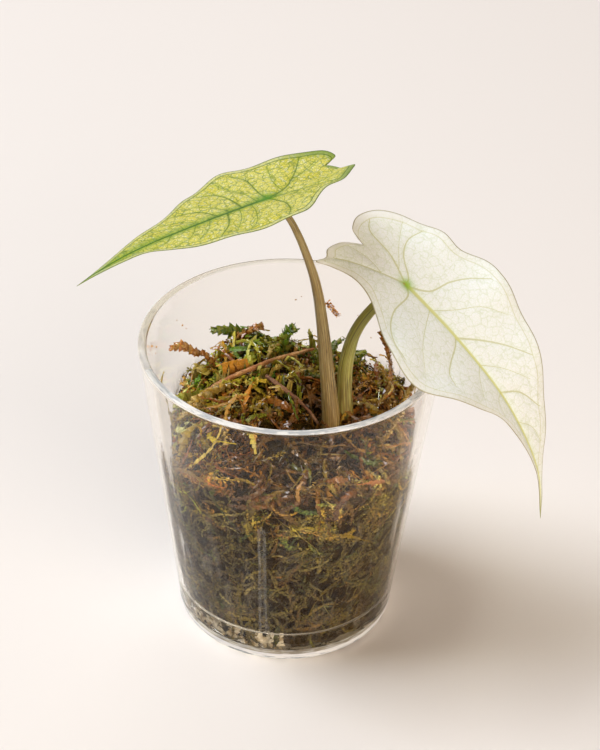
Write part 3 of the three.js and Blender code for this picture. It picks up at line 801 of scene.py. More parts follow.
def tumbler_profile():
    """(radius, height, inside) from the middle of the underside over the rim to the floor."""
    foot, lip = 1.2, 0.62
    lean = math.degrees(math.atan2(RIM_RADIUS - FOOT_RADIUS, CUP_HEIGHT))
    flat = FOOT_RADIUS - foot
    outside = [(radius, 0) for radius in (0, 12, 22, flat - 0.8, flat - 0.2)]
    outside += arc(flat + 0.1, foot, foot, -90, -lean, 10)
    top = CUP_HEIGHT - lip
    heights = (foot + 0.15, foot + 0.4, 2.6, 4.2, 6, 12, 25, 40, 55, 70, 82, top - 0.5, top - 0.15)
    outside += [(outer_radius(z), z) for z in heights]
    outside += arc(RIM_RADIUS - lip - 0.05, top, lip, -lean, 90, 8)
    inside = arc(RIM_RADIUS - WALL + lip, top, lip, 90, 180 - lean, 8)
    inside += [(outer_radius(z) - WALL, z) for z in (
        top - 0.15, top - 0.5, 82, 66, 54, 51.4, 50.8, 50, 49, 48, 47.4, 46, 40, 30, 20, 12,
        LEDGE_HEIGHT + 0.7, LEDGE_HEIGHT + 0.3,
    )]
    ledge = outer_radius(LEDGE_HEIGHT) - WALL
    steps = ((0.06, 0.05), (0.35, -0.12), (LEDGE_STEP - 0.05, -0.3), (LEDGE_STEP, -0.5))
    inside += [(ledge - inward, LEDGE_HEIGHT + rise) for inward, rise in steps]
    inside += [(float(inner_radius(z)), z) for z in (LEDGE_HEIGHT - 0.9, 6, 4.2)]
    bottom = float(inner_radius(BASE_THICKNESS))
    inside += arc(bottom - 1, BASE_THICKNESS + 1, 1, 0, -90, 7)
    inside += [(radius, BASE_THICKNESS) for radius in (bottom - 1.5, 18, 8, 0)]
    return [(*p, False) for p in outside] + [(*p, True) for p in inside]


def turn_from(turn, middle):
    """How far a turn in radians is from the one in degrees, the short way round."""
    return (turn - math.radians(middle) + math.pi) % (2 * math.pi) - math.pi


def rib_height(turn, z):
    """How far a stacking rib stands out of the inner wall."""
    rise = np.zeros_like(turn)
    for middle in RIB_TURNS:
        across = np.abs(turn_from(turn, middle)) * float(inner_radius(z))
        rise = np.maximum(rise, 0.5 + 0.5 * np.cos(math.pi * np.clip(across / RIB_REACH, 0, 1)))
    below_top = np.clip((RIB_TOP + 0.6 - z) / 3.0, 0, 1)
    return RIB_DEPTH * rise * (below_top * np.clip((z - LEDGE_HEIGHT + 0.6) / 0.6, 0, 1))


def tumbler_material(name, settings, haze, clearness, thin=0.0, streak_tone=STREAK_GREY, wet=False):
    """Clear plastic, a little scuffed, that lets lamps light what it holds.

    Light that has bounced about inside the wall leaves it straight, so that the wall stays clear.
    So does light where the wall is wet and damp moss clings to it, and the share thin of all
    light. Where haze is given, the part that is not clear is a diffuse colour, streaked along the
    edge in the streak tone and white: painted reflection on the lip, painted light on the foot.
    """
    skin = Skin(name, (*settings.tint, 1))
    place = skin.place()
    x, y, z = skin.split(place)
    scuffs = skin.noise(place, 260.0, 4.0, Distortion=0.8)
    rough = settings.roughness + haze
    skin.bump(skin.noise(place, 60.0, 1.5), 0.04, 0.0001)
    # where haze is given, the part that is not clear shows this streaked colour: painted reflection
    # on the lip, painted light on the foot
    if haze > 0:
        around = skin.times(skin.maths("ARCTAN2", y, x), 0.006)
        drawn = skin.combine(around, skin.times(skin.vector("LENGTH", place), 2.0), z)
        streaks = skin.spread(skin.noise(drawn, 1300.0, 3.0), 0.4, 0.56)
        skin.colour = skin.blend(streaks, streak_tone, (0.97, 0.98, 1, 1))
    path = skin.node("LightPath").outputs
    lost = skin.maths("GREATER_THAN", path["Ray Depth"], 3.5)
    straight = skin.maths("MAXIMUM", path["Is Shadow Ray"], lost)
    if wet:
        patches = skin.noise(skin.combine(x, y, skin.times(z, 0.14)), 260.0, 4.0)
        film = skin.times(skin.spread(patches, 0.36, 0.5, 0.2, 0.92), skin.fade(z, 0.052, 0.066))
        turn = skin.maths("ARCTAN2", skin.maths("ABSOLUTE", y), skin.maths("ABSOLUTE", x))
        straight = skin.maths("MAXIMUM", straight, skin.times(film, skin.spread(turn, 0.3, 0.5)))
    if thin:
        straight = skin.maths("MAXIMUM", straight, thin)
    skin.mix_in(straight, skin.node("BsdfTransparent", Color=(0.97, 0.95, 0.88, 1)))
    return skin.finish(
        Roughness=skin.spread(scuffs, 0.5, 0.75, rough, rough + 0.05), IOR=settings.ior,
        Transmission_Weight=clearness, Specular_Tint=(0.2, 0.2, 0.2, 1), Specular_IOR_Level=0.25,
    )


def tumbler_material_at(x, y, z):
    """The place in the tumbler's list of the material of a face whose middle is given."""
    radius = math.hypot(x, y)
    outer = radius > float(outer_radius(z)) - 1
    # lip faces take whiter steps the further in front they are: a painted reflection
    if z > CUP_HEIGHT - 0.3:
        return 2 + int(np.clip(3.6 + 4.2 * y / radius, 0, 5))
    if not outer and z < 67 and abs(z - LEDGE_HEIGHT) > 0.8:
        rib = rib_height(np.array([math.atan2(y, x)]), z)[0]
        return 0 if rib > 0.8 * RIB_DEPTH else 11 if rib > 0.02 else 1
    # the foot's bands and underside take partly diffuse plastics: painted light carried through the
    # base
    if z < 1.3:
        return 9 if z > 0.1 else 10
    if outer and z < 4.2:
        return 8 if z < 2.7 else 10
    return 0


class ALOCASIA_OT_tumbler(bpy.types.Operator):
    """Turns the clear tumbler with its rounded lip, ledge and stacking ribs"""

    bl_idname = "alocasia.tumbler"
    bl_label = "Clear tumbler"

    def execute(self, context):
        settings = context.scene.alocasia_tumbler
        turns = list(np.linspace(0, 2 * math.pi, settings.facets, endpoint=False))
        for middle in RIB_TURNS:
            for across in (-1.3, -1.05, -0.8, -0.55, -0.3, 0, 0.3, 0.55, 0.8, 1.05, 1.3):
                turns.append((math.radians(middle) + across / RIB_RADIUS) % (2 * math.pi))
        turns = np.unique(np.round(turns, 5))
        rows = []
        for radius, z, inside in tumbler_profile()[1:-1]:
            r = radius - (rib_height(turns, z) if inside else 0.0)
            level = np.full(len(turns), z)
            rows.append(np.stack([r * np.cos(turns), r * np.sin(turns), level], -1))
        points = np.vstack([*rows, [(0, 0, 0), (0, 0, BASE_THICKNESS)]])
        faces = fanned_faces(len(rows), len(turns), len(points) - 2, len(points) - 1)
        cup = new_mesh("tumbler", points, faces)
        clear = tumbler_material("clear plastic", settings, 0.0, 1.0)
        finish_piece(cup, clear, "clear_plastic", "cup")
        materials = [tumbler_material("wet plastic", settings, 0.0, 1.0, wet=True)]
        # the lip is whiter in front and clearer towards the back, in steps: a painted reflection of
        # the bright room, whitest on the side that is usually looked at
        for step, thin in enumerate((0.0, 0.14, 0.3, 0.46, 0.62, 0.8)):
            name, share = f"lip plastic {step + 1}", settings.lip_clearness + 0.08 * step
            materials.append(tumbler_material(name, settings, 0.2, share, thin))
        # the band over the foot, its rounded edge, the underside and the sides of the ribs, partly
        # diffuse: painted light. The white band stands for light carried through the solid base;
        # the blue-grey edge, the tan underside and the grey rib sides stand for what base and ribs
        # reflect and refract
        for step, (share, thin, streak_tone) in enumerate((
            (0.1, 0.0, (0.84, 0.86, 0.9, 1)), (0.2, 0.0, (0.3, 0.34, 0.4, 1)),
            (0.5, 0.35, (0.5, 0.44, 0.36, 1)), (0.3, 0.84, (0.6, 0.6, 0.64, 1)),
        )):
            name = f"foot plastic {step + 1}"
            materials.append(tumbler_material(name, settings, 0.3, share, thin, streak_tone))
        for material in materials:
            cup.data.materials.append(material)
        for face in cup.data.polygons:
            face.material_index = tumbler_material_at(*(v / MM for v in face.center))
        return {"FINISHED"}


# ---- Leaf blades ----


def through_three(values, u):
    """Smooth value through those at the lobes, the middle and the tip of a blade."""
    a, b, c = values
    p, q, r = -0.3, 0.4, 1.0
    at = np.clip(u, -0.4, 1)
    return (
        a * (at - q) * (at - r) / ((p - q) * (p - r))
        + b * (at - p) * (at - r) / ((q - p) * (q - r))
        + c * (at - p) * (at - q) / ((r - p) * (r - q))
    )


def blade_surface(leaf):
    """The blade's middle surface, a function of flat (s, w) points, and the midrib's length."""
    dense = curve_through(leaf["midrib"], steps=60)
    length = lengths_along(dense)[-1]
    directions = tangents(dense)
    across = unit(np.array(leaf["across"]))
    height, wave, phase = leaf["waves"]

    def place(flat):
        s, w = flat.T
        t = np.clip(s / length, 0, 1)
        along = unit(at_fraction(dense, t, directions))
        centre = at_fraction(dense, t) + along * np.minimum(s, 0)[:, None]
        centre[:, 2] += leaf["lobe_lift"] * (np.minimum(s, 0) / 22) ** 2
        up = unit(np.cross(along, across))
        up = np.where(up[:, 2:] < 0, -up, up)
        side = np.where(w >= 0, 1.0, -1.0)
        folds = (through_three(leaf[key], s / length) for key in ("raise_far", "raise_near"))
        fold = np.radians(np.where(side > 0, *folds))
        out = across[None] * (side * np.cos(fold))[:, None] + up * np.sin(fold)[:, None]
        reach = np.clip(np.abs(w) / 18, 0, 1)
        ripple = height * reach**2 * np.sin(2 * math.pi * s / wave + side * phase)
        return centre + out * np.abs(w)[:, None] + up * ripple[:, None]

    return place, length


def vein_fields(leaf, flat):
    """Where each flat point lies among the veins.

    Returns its relief on them, its distance to the nearest, and the side and distance of the
    nearest lateral one. The side is counted in widths of that vein.
    """
    s, w = flat.T
    relief = np.exp(-((w / 0.9) ** 2)) * (s > 0)
    nearest = np.where(s > 0, np.abs(w), np.linalg.norm(flat, axis=1))
    lateral = np.full(len(flat), 99.0)
    side = np.full(len(flat), 9.0)
    veins = [(vein, 0.36, 0.17, 0.8) for vein in leaf["veins"]]
    veins += [(vein, 0.14, 0.07, 0.25) for vein in leaf["faint"]]
    for vein, root, end, rise in veins:
        dense = curve_through(vein, centripetal=len(vein) > 2, steps=30)
        width = np.linspace(root, end, len(dense))
        gap = np.linalg.norm(flat[:, None] - dense[None], axis=2)
        closest = gap.argmin(axis=1)
        away = gap[np.arange(len(flat)), closest]
        run = tangents(dense)[closest]
        off = flat - dense[closest]
        turn = np.where(run[:, 0] * off[:, 1] - run[:, 1] * off[:, 0] < 0, -1.0, 1.0)
        nearer = away < lateral
        lateral = np.where(nearer, away, lateral)
        side = np.where(nearer, turn * np.minimum(away / width[closest], 9), side)
        relief = np.maximum(relief, rise * np.exp(-((away / 0.55) ** 2)))
    return relief, np.minimum(nearest, lateral), side, lateral


def blade_grid(leaf, length, rungs, cells):
    """Flat points of a blade, each one's distance to the margin, and the faces between them.

    Each half has rungs from the midrib, or from its branch to the notch, out to the margin.
    """
    branch = 0.3
    steps = np.linspace(0, 1, rungs + 1)
    share = np.linspace(0, 1, cells + 1) ** 0.9
    flat, rim, faces, known = [], [], [], {}
    for side, key in ((1, "far_edge"), (-1, "near_edge")):
        edge = curve_through([leaf["notch"], *leaf[key], (length, 0)], centripetal=False)
        edge = at_fraction(edge, steps)
        spine = np.maximum(1 - steps / branch, 0)[:, None] * np.array(leaf["notch"])
        spine[:, 0] += length * np.maximum((steps - branch) / (1 - branch), 0)
        rows = np.zeros((rungs + 1, cells + 1), int)
        for i in range(rungs + 1):
            reach = np.linalg.norm(edge[i] - spine[i])
            for j in range(cells + 1):
                p = spine[i] + (edge[i] - spine[i]) * share[j]
                spot = (round(p[0], 3), round(p[1], 3))
                if spot not in known:
                    known[spot] = len(flat)
                    flat.append(p)
                    rim.append(reach * (1 - share[j]))
                rows[i, j] = known[spot]
        quads = np.stack([rows[:-1, :-1], rows[:-1, 1:], rows[1:, 1:], rows[1:, :-1]], -1)
        for quad in quads.reshape(-1, 4)[:, ::side]:
            face = list(dict.fromkeys(int(v) for v in quad))
            if len(face) > 2:
                faces.append(face)
    return np.array(flat), np.array(rim), faces


def open_edges(faces):
    """The directed edges that only one face has."""
    seen = {}
    for face in faces:
        for p, q in zip(face, face[1:] + face[:1]):
            if (q, p) in seen:
                del seen[(q, p)]
            else:
                seen[(p, q)] = True
    return seen


def make_blade(name, leaf, settings):
    """A thin closed blade, with quilting between the veins and ribs below."""
    place, length = blade_surface(leaf)
    flat, rim, faces = blade_grid(leaf, length, settings.rungs, settings.cells)
    middle = place(flat)
    # normals from a small step along and across the flat plan
    along, across = (
        place(flat + step) - place(flat - step) for step in ((0.05, 0), (0, 0.05))
    )
    normal = unit(np.cross(along, across))
    normal = np.where(normal[:, 2:] < 0, -normal, normal)
    a, b, c = (middle[[f[k] for f in faces]] for k in range(3))
    if (np.cross(b - a, c - a) * normal[[f[0] for f in faces]]).sum() < 0:
        faces = [f[::-1] for f in faces]
    relief, nearest, side, lateral = vein_fields(leaf, flat)
    inner = np.clip(rim / 3, 0, 1)
    thick = settings.edge + (settings.middle - settings.edge) * np.clip(rim / 9, 0, 1) ** 0.6
    quilt = settings.quilting * (1 - np.exp(-nearest / 2.2)) * inner
    groove = 0.16 * relief * inner
    taper = np.clip(1 - np.abs(flat[:, 0]) / length, 0, 1)
    keel = taper * np.exp(-(flat[:, 1] ** 2)) * np.clip(rim / 2, 0, 1)
    below = np.maximum(keel, 0.32 * relief * inner)
    top = middle + normal * (thick / 2 + quilt - groove - 0.1)[:, None]
    bottom = middle - normal * (thick / 2 - 0.7 * quilt + below - 0.05)[:, None]
    count = len(flat)
    lower = [[v + count for v in f[::-1]] for f in faces]
    strip = [[p, p + count, q + count, q] for p, q in open_edges(faces)]
    knot = np.exp(-((np.linalg.norm(flat - (0.4, 0.0), axis=1) / leaf["knot"]) ** 2))
    fields = {"lateral": side, "lateral_gap": lateral, "near_vein": nearest, "rim": rim}
    fields = {key: np.tile(values, 2) for key, values in {**fields, "knot": knot}.items()}
    fields["under"] = np.repeat([0.0, 1.0], count)
    plan = np.vstack([flat, flat]) / PLAN_SCALE + 0.5
    return new_mesh(name, np.vstack([top, bottom]), faces + lower + strip, fields, plan)


def blade_material(name, palette, look):
    """A waxy leaf: pale blade, coloured veins, a fine net, a tinted joint and a margin line."""
    skin = Skin(name, palette["blade"])
    plan = skin.node("UVMap", {"uv_map": "plan"}).outputs[0]
    flat = skin.vector("SUBTRACT", plan, n1=(0.5, 0.5, 0.0))
    flat = skin.vector("SCALE", flat, Scale=PLAN_SCALE)
    rim = skin.attribute("rim")
    midrib, laterals, submarginal, margin, along, off = leaf_lines(
        skin, Plan=flat, Lateral=skin.attribute("lateral"), Rim=rim,
        Lateral_Gap=skin.attribute("lateral_gap"), Midrib_Width=look["midrib"],
        Blade_Length=look["length"], Submargin=look["submargin"],
    )
    coarse, bulges = leaf_net(skin, Vector=flat, Cell=look["cell"], Line=0.17, Warp=1.3)
    fine, ripples = leaf_net(skin, Vector=flat, Cell=0.34 * look["cell"], Line=0.1, Warp=0.7)
    speck = skin.noise(flat, 1.1, 4.0)

    def uneven(mask, low, high=1.0):
        return skin.times(mask, skin.spread(speck, 0.3, 0.6, low, high))

    skin.paint(skin.spread(skin.noise(flat, 0.17, 4.0), 0.36, 0.64), palette["patch"])
    skin.paint(skin.times(skin.spread(speck, 0.5, 0.62), look["fleck"]), palette["speck"])
    halo = skin.fade(off, 0.2, look["halo_reach"], look["halo"])
    skin.paint(uneven(halo, 0.55), palette["halo"])
    seam = skin.fade(skin.attribute("near_vein"), 0.1, 1.1, 0.3 * look["halo"])
    skin.paint(seam, palette["halo"])
    for mask, share in ((coarse, look["net"]), (fine, 0.7 * look["net"])):
        skin.paint(uneven(mask, 0.45 * share, share), palette["net"])
    outside = skin.fade(rim, look["submargin"] + 0.2, look["submargin"] + 0.9, look["band"])
    skin.paint(uneven(outside, 0.6), palette["band"])
    # the lobes' tone: its own green on the yellow blade; on the cream blade a pure white that
    # lightens lobes lying in shade, painted light
    behind = skin.fade(skin.split(flat)[0], -20.0, -8.0, 0.8)
    skin.paint(skin.times(behind, skin.fade(rim, 0.3, 3.5)), palette["lobe"])
    for mask, share, tone in (
        (laterals, look["laterals"], "vein"), (midrib, 0.9, "rib"),
        (submarginal, look["submarginal"], "vein"), (skin.attribute("knot"), look["knot"], "knot"),
        (margin, 0.9, "margin"),
    ):
        skin.paint(skin.times(mask, share), palette[tone])
    skin.paint(skin.spread(along, 0.86, 1.0, 0.0, 0.8), palette["tip"])
    skin.paint(skin.times(skin.attribute("under"), 0.25), palette["under"])
    skin.bump(skin.maths("ADD", skin.times(bulges, 0.8), skin.times(ripples, 0.5)), 0.4, 0.00012)
    skin.glow_through(look["through"])
    return skin.finish(Roughness=skin.spread(speck, 0.3, 0.7, 0.34, 0.5), Specular_IOR_Level=0.4)


class ALOCASIA_OT_leaf_left(bpy.types.Operator):
    """Makes the yellow-green blade on the left"""

    bl_idname = "alocasia.leaf_left"
    bl_label = "Left leaf"

    def execute(self, context):
        blade = make_blade("blade_left", LEAF_LEFT, context.scene.alocasia_blade)
        material = blade_material("yellow-green blade", LEAF_LEFT["palette"], LEAF_LEFT["look"])
        finish_piece(blade, material, "blade_yellow", "leaf_left")
        return {"FINISHED"}


class ALOCASIA_OT_leaf_right(bpy.types.Operator):
    """Makes the cream-white blade on the right"""

    bl_idname = "alocasia.leaf_right"
    bl_label = "Right leaf"

    def execute(self, context):
        blade = make_blade("blade_right", LEAF_RIGHT, context.scene.alocasia_blade)
        material = blade_material("cream blade", LEAF_RIGHT["palette"], LEAF_RIGHT["look"])
        finish_piece(blade, material, "blade_cream", "leaf_right")
        return {"FINISHED"}


# ---- Stalks and twigs ----


def make_rod(name, *shape, **options):
    """A rounded rod with its grain: two coordinates round it and its length, in millimetres."""
    points, faces, along, around = rounded_rod(*shape, **options)
    grain = np.stack([np.cos(around), np.sin(around), along], -1)
    return new_mesh(name, points, faces, {"grain": grain})


def make_stalk(name, stalk, seed, short):
    """A fleshy stalk with low ridges, stopped short of its blade's upper side."""
    dense = curve_through(stalk["path"])
    kept = np.linspace(0, 1 - short / lengths_along(dense)[-1], 14)
    radii = at_fraction(dense, kept, evenly(stalk["radii"], len(dense))[:, None])[:, 0]

    def ridges(turns, along):
        waves = 0.022 * np.sin(11 * turns + 0.02 * along + seed) + 0.012 * np.sin(17 * turns + seed)
        return waves - 0.01 * math.sin(0.35 * along + seed)

    return make_rod(name, at_fraction(dense, kept), radii, 44, 130, ridges=ridges)


def stalk_material(name, palette, strength):
    """Satin stalk skin with broken dark lines along it, darker at its foot: partly its own tone and
    partly painted shade.
    """
    skin = Skin(name, palette["skin"])
    grain = skin.attribute("grain", "Vector")
    lines, field = stripes(skin, Vector=grain, Lines=18.0, Stretch=0.02, Width=0.12)
    dashes, _ = stripes(skin, Vector=grain, Lines=31.0, Stretch=0.09, Width=0.12)
    blotch, speckle = mottle(skin, 9.0, 0.7)
    # the foot's darker tone is partly the stalk's own and partly painted shade from the moss and
    # the other stalk around it
    for share, tone in (
        (blotch, "patch"), (skin.fade(skin.split(grain)[2], 14.0, 30.0, 0.85), "foot"),
        (skin.times(skin.spread(field, 0.5, 0.62), 0.5), "light"),
        (skin.times(lines, strength), "line"), (skin.times(dashes, 0.8 * strength), "dash"),
    ):
        skin.paint(share, palette[tone])
    skin.bump(lines, 0.3, 0.0001, invert=True)
    roughness = skin.spread(speckle, 0.0, 1.0, 0.36, 0.5)
    return skin.finish(Roughness=roughness, Subsurface_Weight=0.1, Subsurface_Scale=0.001)


class ALOCASIA_OT_stalks(bpy.types.Operator):
    """Makes the two leaf stalks"""

    bl_idname = "alocasia.stalks"
    bl_label = "Leaf stalks"

    def execute(self, context):
        for side, colour, stalk, seed, short, strength in (
            ("left", "brown", STALK_LEFT, 0.4, 1.5, 1.0),
            ("right", "olive", STALK_RIGHT, 2.6, 1.6, 0.75),
        ):
            piece = make_stalk("stalk_" + side, stalk, seed, short)
            material = stalk_material(colour + " stalk", stalk["palette"], strength)
            finish_piece(piece, material, "stalk_" + colour, "stem_" + side)
        return {"FINISHED"}


def bark_material(name, palette):
    """Dry bark: fibrous, split along its length, matte."""
    skin = Skin(name, palette["bark"])
    grain = skin.attribute("grain", "Vector")
    fibres, _ = stripes(skin, Vector=grain, Lines=9.0, Stretch=0.2, Width=0.16)
    blotch, speckle = mottle(skin, 4.0, 0.6)
    skin.paint(blotch, palette["light"])
    skin.paint(skin.times(fibres, 0.7), palette["dark"])
    skin.paint(skin.times(speckle, 0.3), palette["dark"])
    skin.bump(fibres, 0.6, 0.0002, invert=True)
    return skin.finish(Roughness=skin.spread(speckle, 0.0, 1.0, 0.5, 0.8))


class ALOCASIA_OT_twigs(bpy.types.Operator):
    """Makes the two dry stalks that lie on the moss"""

    bl_idname = "alocasia.twigs"
    bl_label = "Dry stalks"

    def execute(self, context):
        for kind, twig in (("long", TWIG_LONG), ("thin", TWIG_THIN)):

            def knots(turns, along):
                swell = 0.3 * noise.noise(Vector((along / 2.0, twig["seed"], 0)))
                swell += 0.15 * noise.noise(Vector((along / 0.7, twig["seed"], 3)))
                swell = swell + 0.16 * np.sin(2 * turns + along / 4)
                return swell + 0.07 * np.sin(7 * turns - along)

            name = "dry_stalk_" + kind
            piece = make_rod(name, twig["path"], twig["radii"], 18, 120, cap=2, ridges=knots)
            material = bark_material("twig " + kind, twig["palette"])
            finish_piece(piece, material, "dry_stalk", "twig_" + kind)
        return {"FINISHED"}


# ---- Moss ----


def moss_height(x, y):
    """Height of the moss mound under its shoots."""
    turn = np.degrees(np.arctan2(y, x))

    def away(angle):
        return (turn - angle + 180) % 360 - 180

    edge = MOSS_EDGE
    at_wall = edge["mean"] + edge["lean"] * np.cos(np.radians(away(edge["lean_turn"])))
    at_wall = at_wall - edge["dip"] * np.exp(-((away(edge["dip_turn"]) / edge["dip_spread"]) ** 2))
    reach = np.minimum(np.hypot(x, y) / (RIM_RADIUS - WALL), 1)
    height = MOSS_CROWN + (at_wall - MOSS_CROWN) * reach**1.5
    height = height + 0.8 * np.sin(0.42 * x + 1.3) * np.cos(0.37 * y)
    height = height + 0.5 * np.sin(0.71 * y - 0.55 * x)
    for bx, by, rise, radius in MOSS_BUMPS:
        height = height + rise * np.exp(-((x - bx) ** 2 + (y - by) ** 2) / radius**2)
    return height


def bed_rows():
    """Rings of points up the wall and in over the top of the moss."""
    turns = np.linspace(0, 2 * math.pi, BED_SIDES, endpoint=False)
    low = BASE_THICKNESS + CLEARANCE
    reach = float(inner_radius(MOSS_EDGE["mean"])) - 2
    rim = moss_height(reach * np.cos(turns), reach * np.sin(turns)) - 1.2
    rows = []
    for share in np.linspace(0, 1, BED_WALL_RINGS):
        z = low + (rim - low) * share
        r = inner_radius(z) - 1.4
        rows.append(np.stack([r * np.cos(turns), r * np.sin(turns), z], -1))
    edge = rows[-1].T[:2]
    for k in range(1, BED_TOP_RINGS):
        x, y = edge * (1 - k / BED_TOP_RINGS)
        rows.append(np.stack([x, y, moss_height(x, y) - 0.8], -1))
    return rows


def moss_grounds(points, quads):
    """The parts of the bed that moss is scattered over.

    They are the top with the upper edge of the wall, the wall, its lowest band, and the green spot
    at the back.
    """
    edge = (BED_WALL_RINGS - 1) * BED_SIDES
    first = quads[:, 0]
    centres = points[quads].mean(axis=1)
    x, y, _ = centres.T
    patchy = fractal(centres, 6.0, 2, 4.2)
    on_top = first >= edge - 2 * BED_SIDES
    chosen = {
        "top": on_top & (patchy > -0.22),
        "wall": (first < edge) & (first >= 6 * BED_SIDES) & (patchy > -0.3),
        "low": (first < 7 * BED_SIDES) & (x < 1) & (y < 14),
        "green": on_top & (np.abs(x + 8) < 8) & (np.abs(y - 16) < 8),
    }
    return {key: new_mesh("ground_" + key, points, quads[part]) for key, part in chosen.items()}


def with_alpha(colour):
    return np.concatenate([colour, np.ones((len(colour), 1))], 1)


def strand_colours(strand, shares):
    """A colour for each vertex from its strand's random number and the shares of the colours."""
    weight = np.stack(np.broadcast_arrays(*shares.values()), -1)
    bounds = np.cumsum(weight / weight.sum(axis=1)[:, None], axis=1)
    past = ((strand * 7.31 + 0.13) % 1.0)[:, None] > bounds
    zone = past.sum(axis=1).clip(0, len(shares) - 1)
    tone = ((strand * 41.7) % 1.0 * 5).astype(int).clip(0, 4)
    return np.stack([[linear(c) for c in MOSS_COLOURS[key]] for key in shares])[zone, tone]


def wall_tint(seat, strand, places):
    """A colour for each vertex of moss at the wall, from its strand and where that sits.

    Painted shade: what lies deeper behind the wall is darker, and lower down, where the lamps above
    reach less, the moss is darker and duller.
    """
    x, y, z = seat.T
    turn = np.degrees(np.arctan2(y, x))
    patch = np.sin(0.13 * z + 0.055 * turn + 1.0) * np.cos(0.21 * z - 0.04 * turn + 0.6)
    colour = strand_colours(strand, {
        "olive": 0.45,
        "brown": 0.17,
        "gold": 0.2 + 0.3 * np.clip((z - 50) / 20, 0, 1),
        "green": 0.1 + 0.9 * np.clip(patch - 0.3, 0, 1),
        "lime": 0.04 + 0.3 * np.clip(patch - 0.5, 0, 1),
        "amber": 0.03 + 0.35 * np.exp(-(((turn + 80) / 16) ** 2) - ((z - 62) / 9) ** 2),
    })
    # painted shade lower down: below 52 mm the moss turns darker and towards a dull olive
    low_shade = np.clip((52 - places[:, 2]) / 14, 0, 1)
    colour = colour * (1 - 0.4 * low_shade[:, None]) + 0.4 * linear(LOW_SHADE_COLOUR) * low_shade[:, None]
    shade = 0.7 * (0.4 + 1.3 * ((strand * 23.3) % 1.0)) * (1.0 - 0.48 * low_shade)
    grain = np.sin(np.arange(len(seat)) * 12.9898 + 78.233 * strand) * 43758.5453 % 1.0
    shade = shade * (0.45 + 1.1 * grain)
    # painted shade for what lies deeper behind the wall
    depth = outer_radius(places[:, 2]) - WALL - 0.5 - np.hypot(places[:, 0], places[:, 1])
    return shaded(colour * (0.98, 1.0, 0.55), shade, depth / 1.8)


def top_tint(seat, strand, places):
    """The same for moss on top. Painted shade: what lies under the mound's surface is darker."""

    def near(x, y, radius):
        return np.exp(-((seat[:, 0] - x) ** 2 + (seat[:, 1] - y) ** 2) / radius**2)

    colour = strand_colours(strand, {
        "gold": 0.12 + 0.8 * near(-24, -4, 16),
        "olive": 0.15 + 0.5 * near(-14, 0, 14),
        "green": 0.04 + 1.6 * near(-9, 17, 11) + 0.5 * near(15, 16, 6),
        "lime": 0.03 + 0.35 * near(-12, 6, 9),
        "brown": 0.25 + 2.2 * near(2, -16, 14),
        "rust": 0.04 + 1.5 * near(26, 0, 16),
    })
    # shade by place: lighter at the left, partly painted light from the lamp on the left and partly
    # a paler tone; darker in front, painted shade in the hollow behind the front of the rim
    shade = (0.7 + 0.6 * ((strand * 23.3) % 1.0)) * (
        1.15 + 1.7 * near(-25, -2, 13) - 0.86 * near(2, -19, 15) - 0.3 * near(25, -6, 14)
        + 0.35 * near(-9, 17, 11)
    )
    # painted shade for what lies under the mound's surface
    depth = moss_height(places[:, 0], places[:, 1]) + 1.2 - places[:, 2]
    return shaded(colour * (1.0, 0.92, 0.6), shade, depth / 3.2)


def shaded(colour, shade, sunk):
    shade = shade * (1 - 0.7 * np.clip(sunk, 0, 1))
    return with_alpha(np.clip(colour * shade[:, None], 0, 0.9))


def bent_path(length, curl, sway):
    """A path from the origin along +X that arches and curls down or sideways."""
    steps = 6
    path = [np.zeros(3)]
    for k in range(steps):
        pitch = math.radians(28 - curl * (k / steps))
        yaw = math.radians(sway * (k / steps))
        level = math.cos(pitch)
        step = np.array([level * math.cos(yaw), level * math.sin(yaw), math.sin(pitch)])
        path.append(path[-1] + step * length / steps)
    return path


def leafy_shoot(path, leaf, leaves, rng, lean_angle, width, core_sides, core_rings):
    """A moss shoot: a thin core with overlapping pointed leaves round it, each a closed boat shape.

    leaf is a leaf's length. Like the shapes below it returns points, faces and how near each point
    is to a leaf's tip.
    """
    dense = curve_through(path)
    core_at = np.linspace(0, 1, core_rings)
    centre = at_fraction(dense, core_at)
    _, side, up = cross_frames(centre)
    points = []
    for k in range(core_rings):
        r = leaf * 0.13 * (1 - 0.6 * core_at[k])
        for a in np.linspace(0, 2 * math.pi, core_sides, endpoint=False):
            points.append(centre[k] + r * math.cos(a) * side[k] + r * math.sin(a) * up[k])
    tip = [0.2] * len(points)
    faces = tube_faces(core_rings, core_sides)
    places = (np.arange(leaves) + 0.2) / (leaves + 0.4)
    base = at_fraction(dense, places)
    along = unit(at_fraction(dense, places, tangents(dense)))
    for k, forward in enumerate(along):
        row = round(places[k] * (core_rings - 1))
        turn = math.radians(GOLDEN_ANGLE * k + rng.uniform(-25, 25))
        out = math.cos(turn) * side[row] + 0.7 * math.sin(turn) * up[row]
        out = unit(out - forward * out.dot(forward))
        across = np.cross(forward, out)
        lean = math.radians(lean_angle * rng.uniform(0.5, 1.5))
        heading = forward * math.cos(lean) + out * math.sin(lean)
        lift = out * math.cos(lean) - forward * math.sin(lean)
        size = leaf * (1 - 0.45 * places[k]) * rng.uniform(0.8, 1.25)
        wide = size * width * rng.uniform(0.8, 1.2)
        curl = rng.uniform(-0.35, 0.4)
        root = base[k] + out * leaf * 0.06
        middle = root + heading * size * rng.uniform(0.4, 0.55) + lift * size * curl * 0.5
        end = root + heading * size * (1 - 0.3 * abs(curl)) + lift * size * curl
        b, l, r, p = range(len(points), len(points) + 4)
        points += [
            root,
            middle + across * wide / 2 + lift * wide * rng.uniform(0.12, 0.4),
            middle - across * wide / 2 + lift * wide * rng.uniform(0.12, 0.4),
            end + across * wide * rng.uniform(-0.2, 0.2),
        ]
        tip += [0.0, 0.6, 0.6, 1.0]
        faces += [[b, p, l], [b, r, p], [b, l, r], [l, p, r]]
    return np.array(points), faces, np.array(tip)


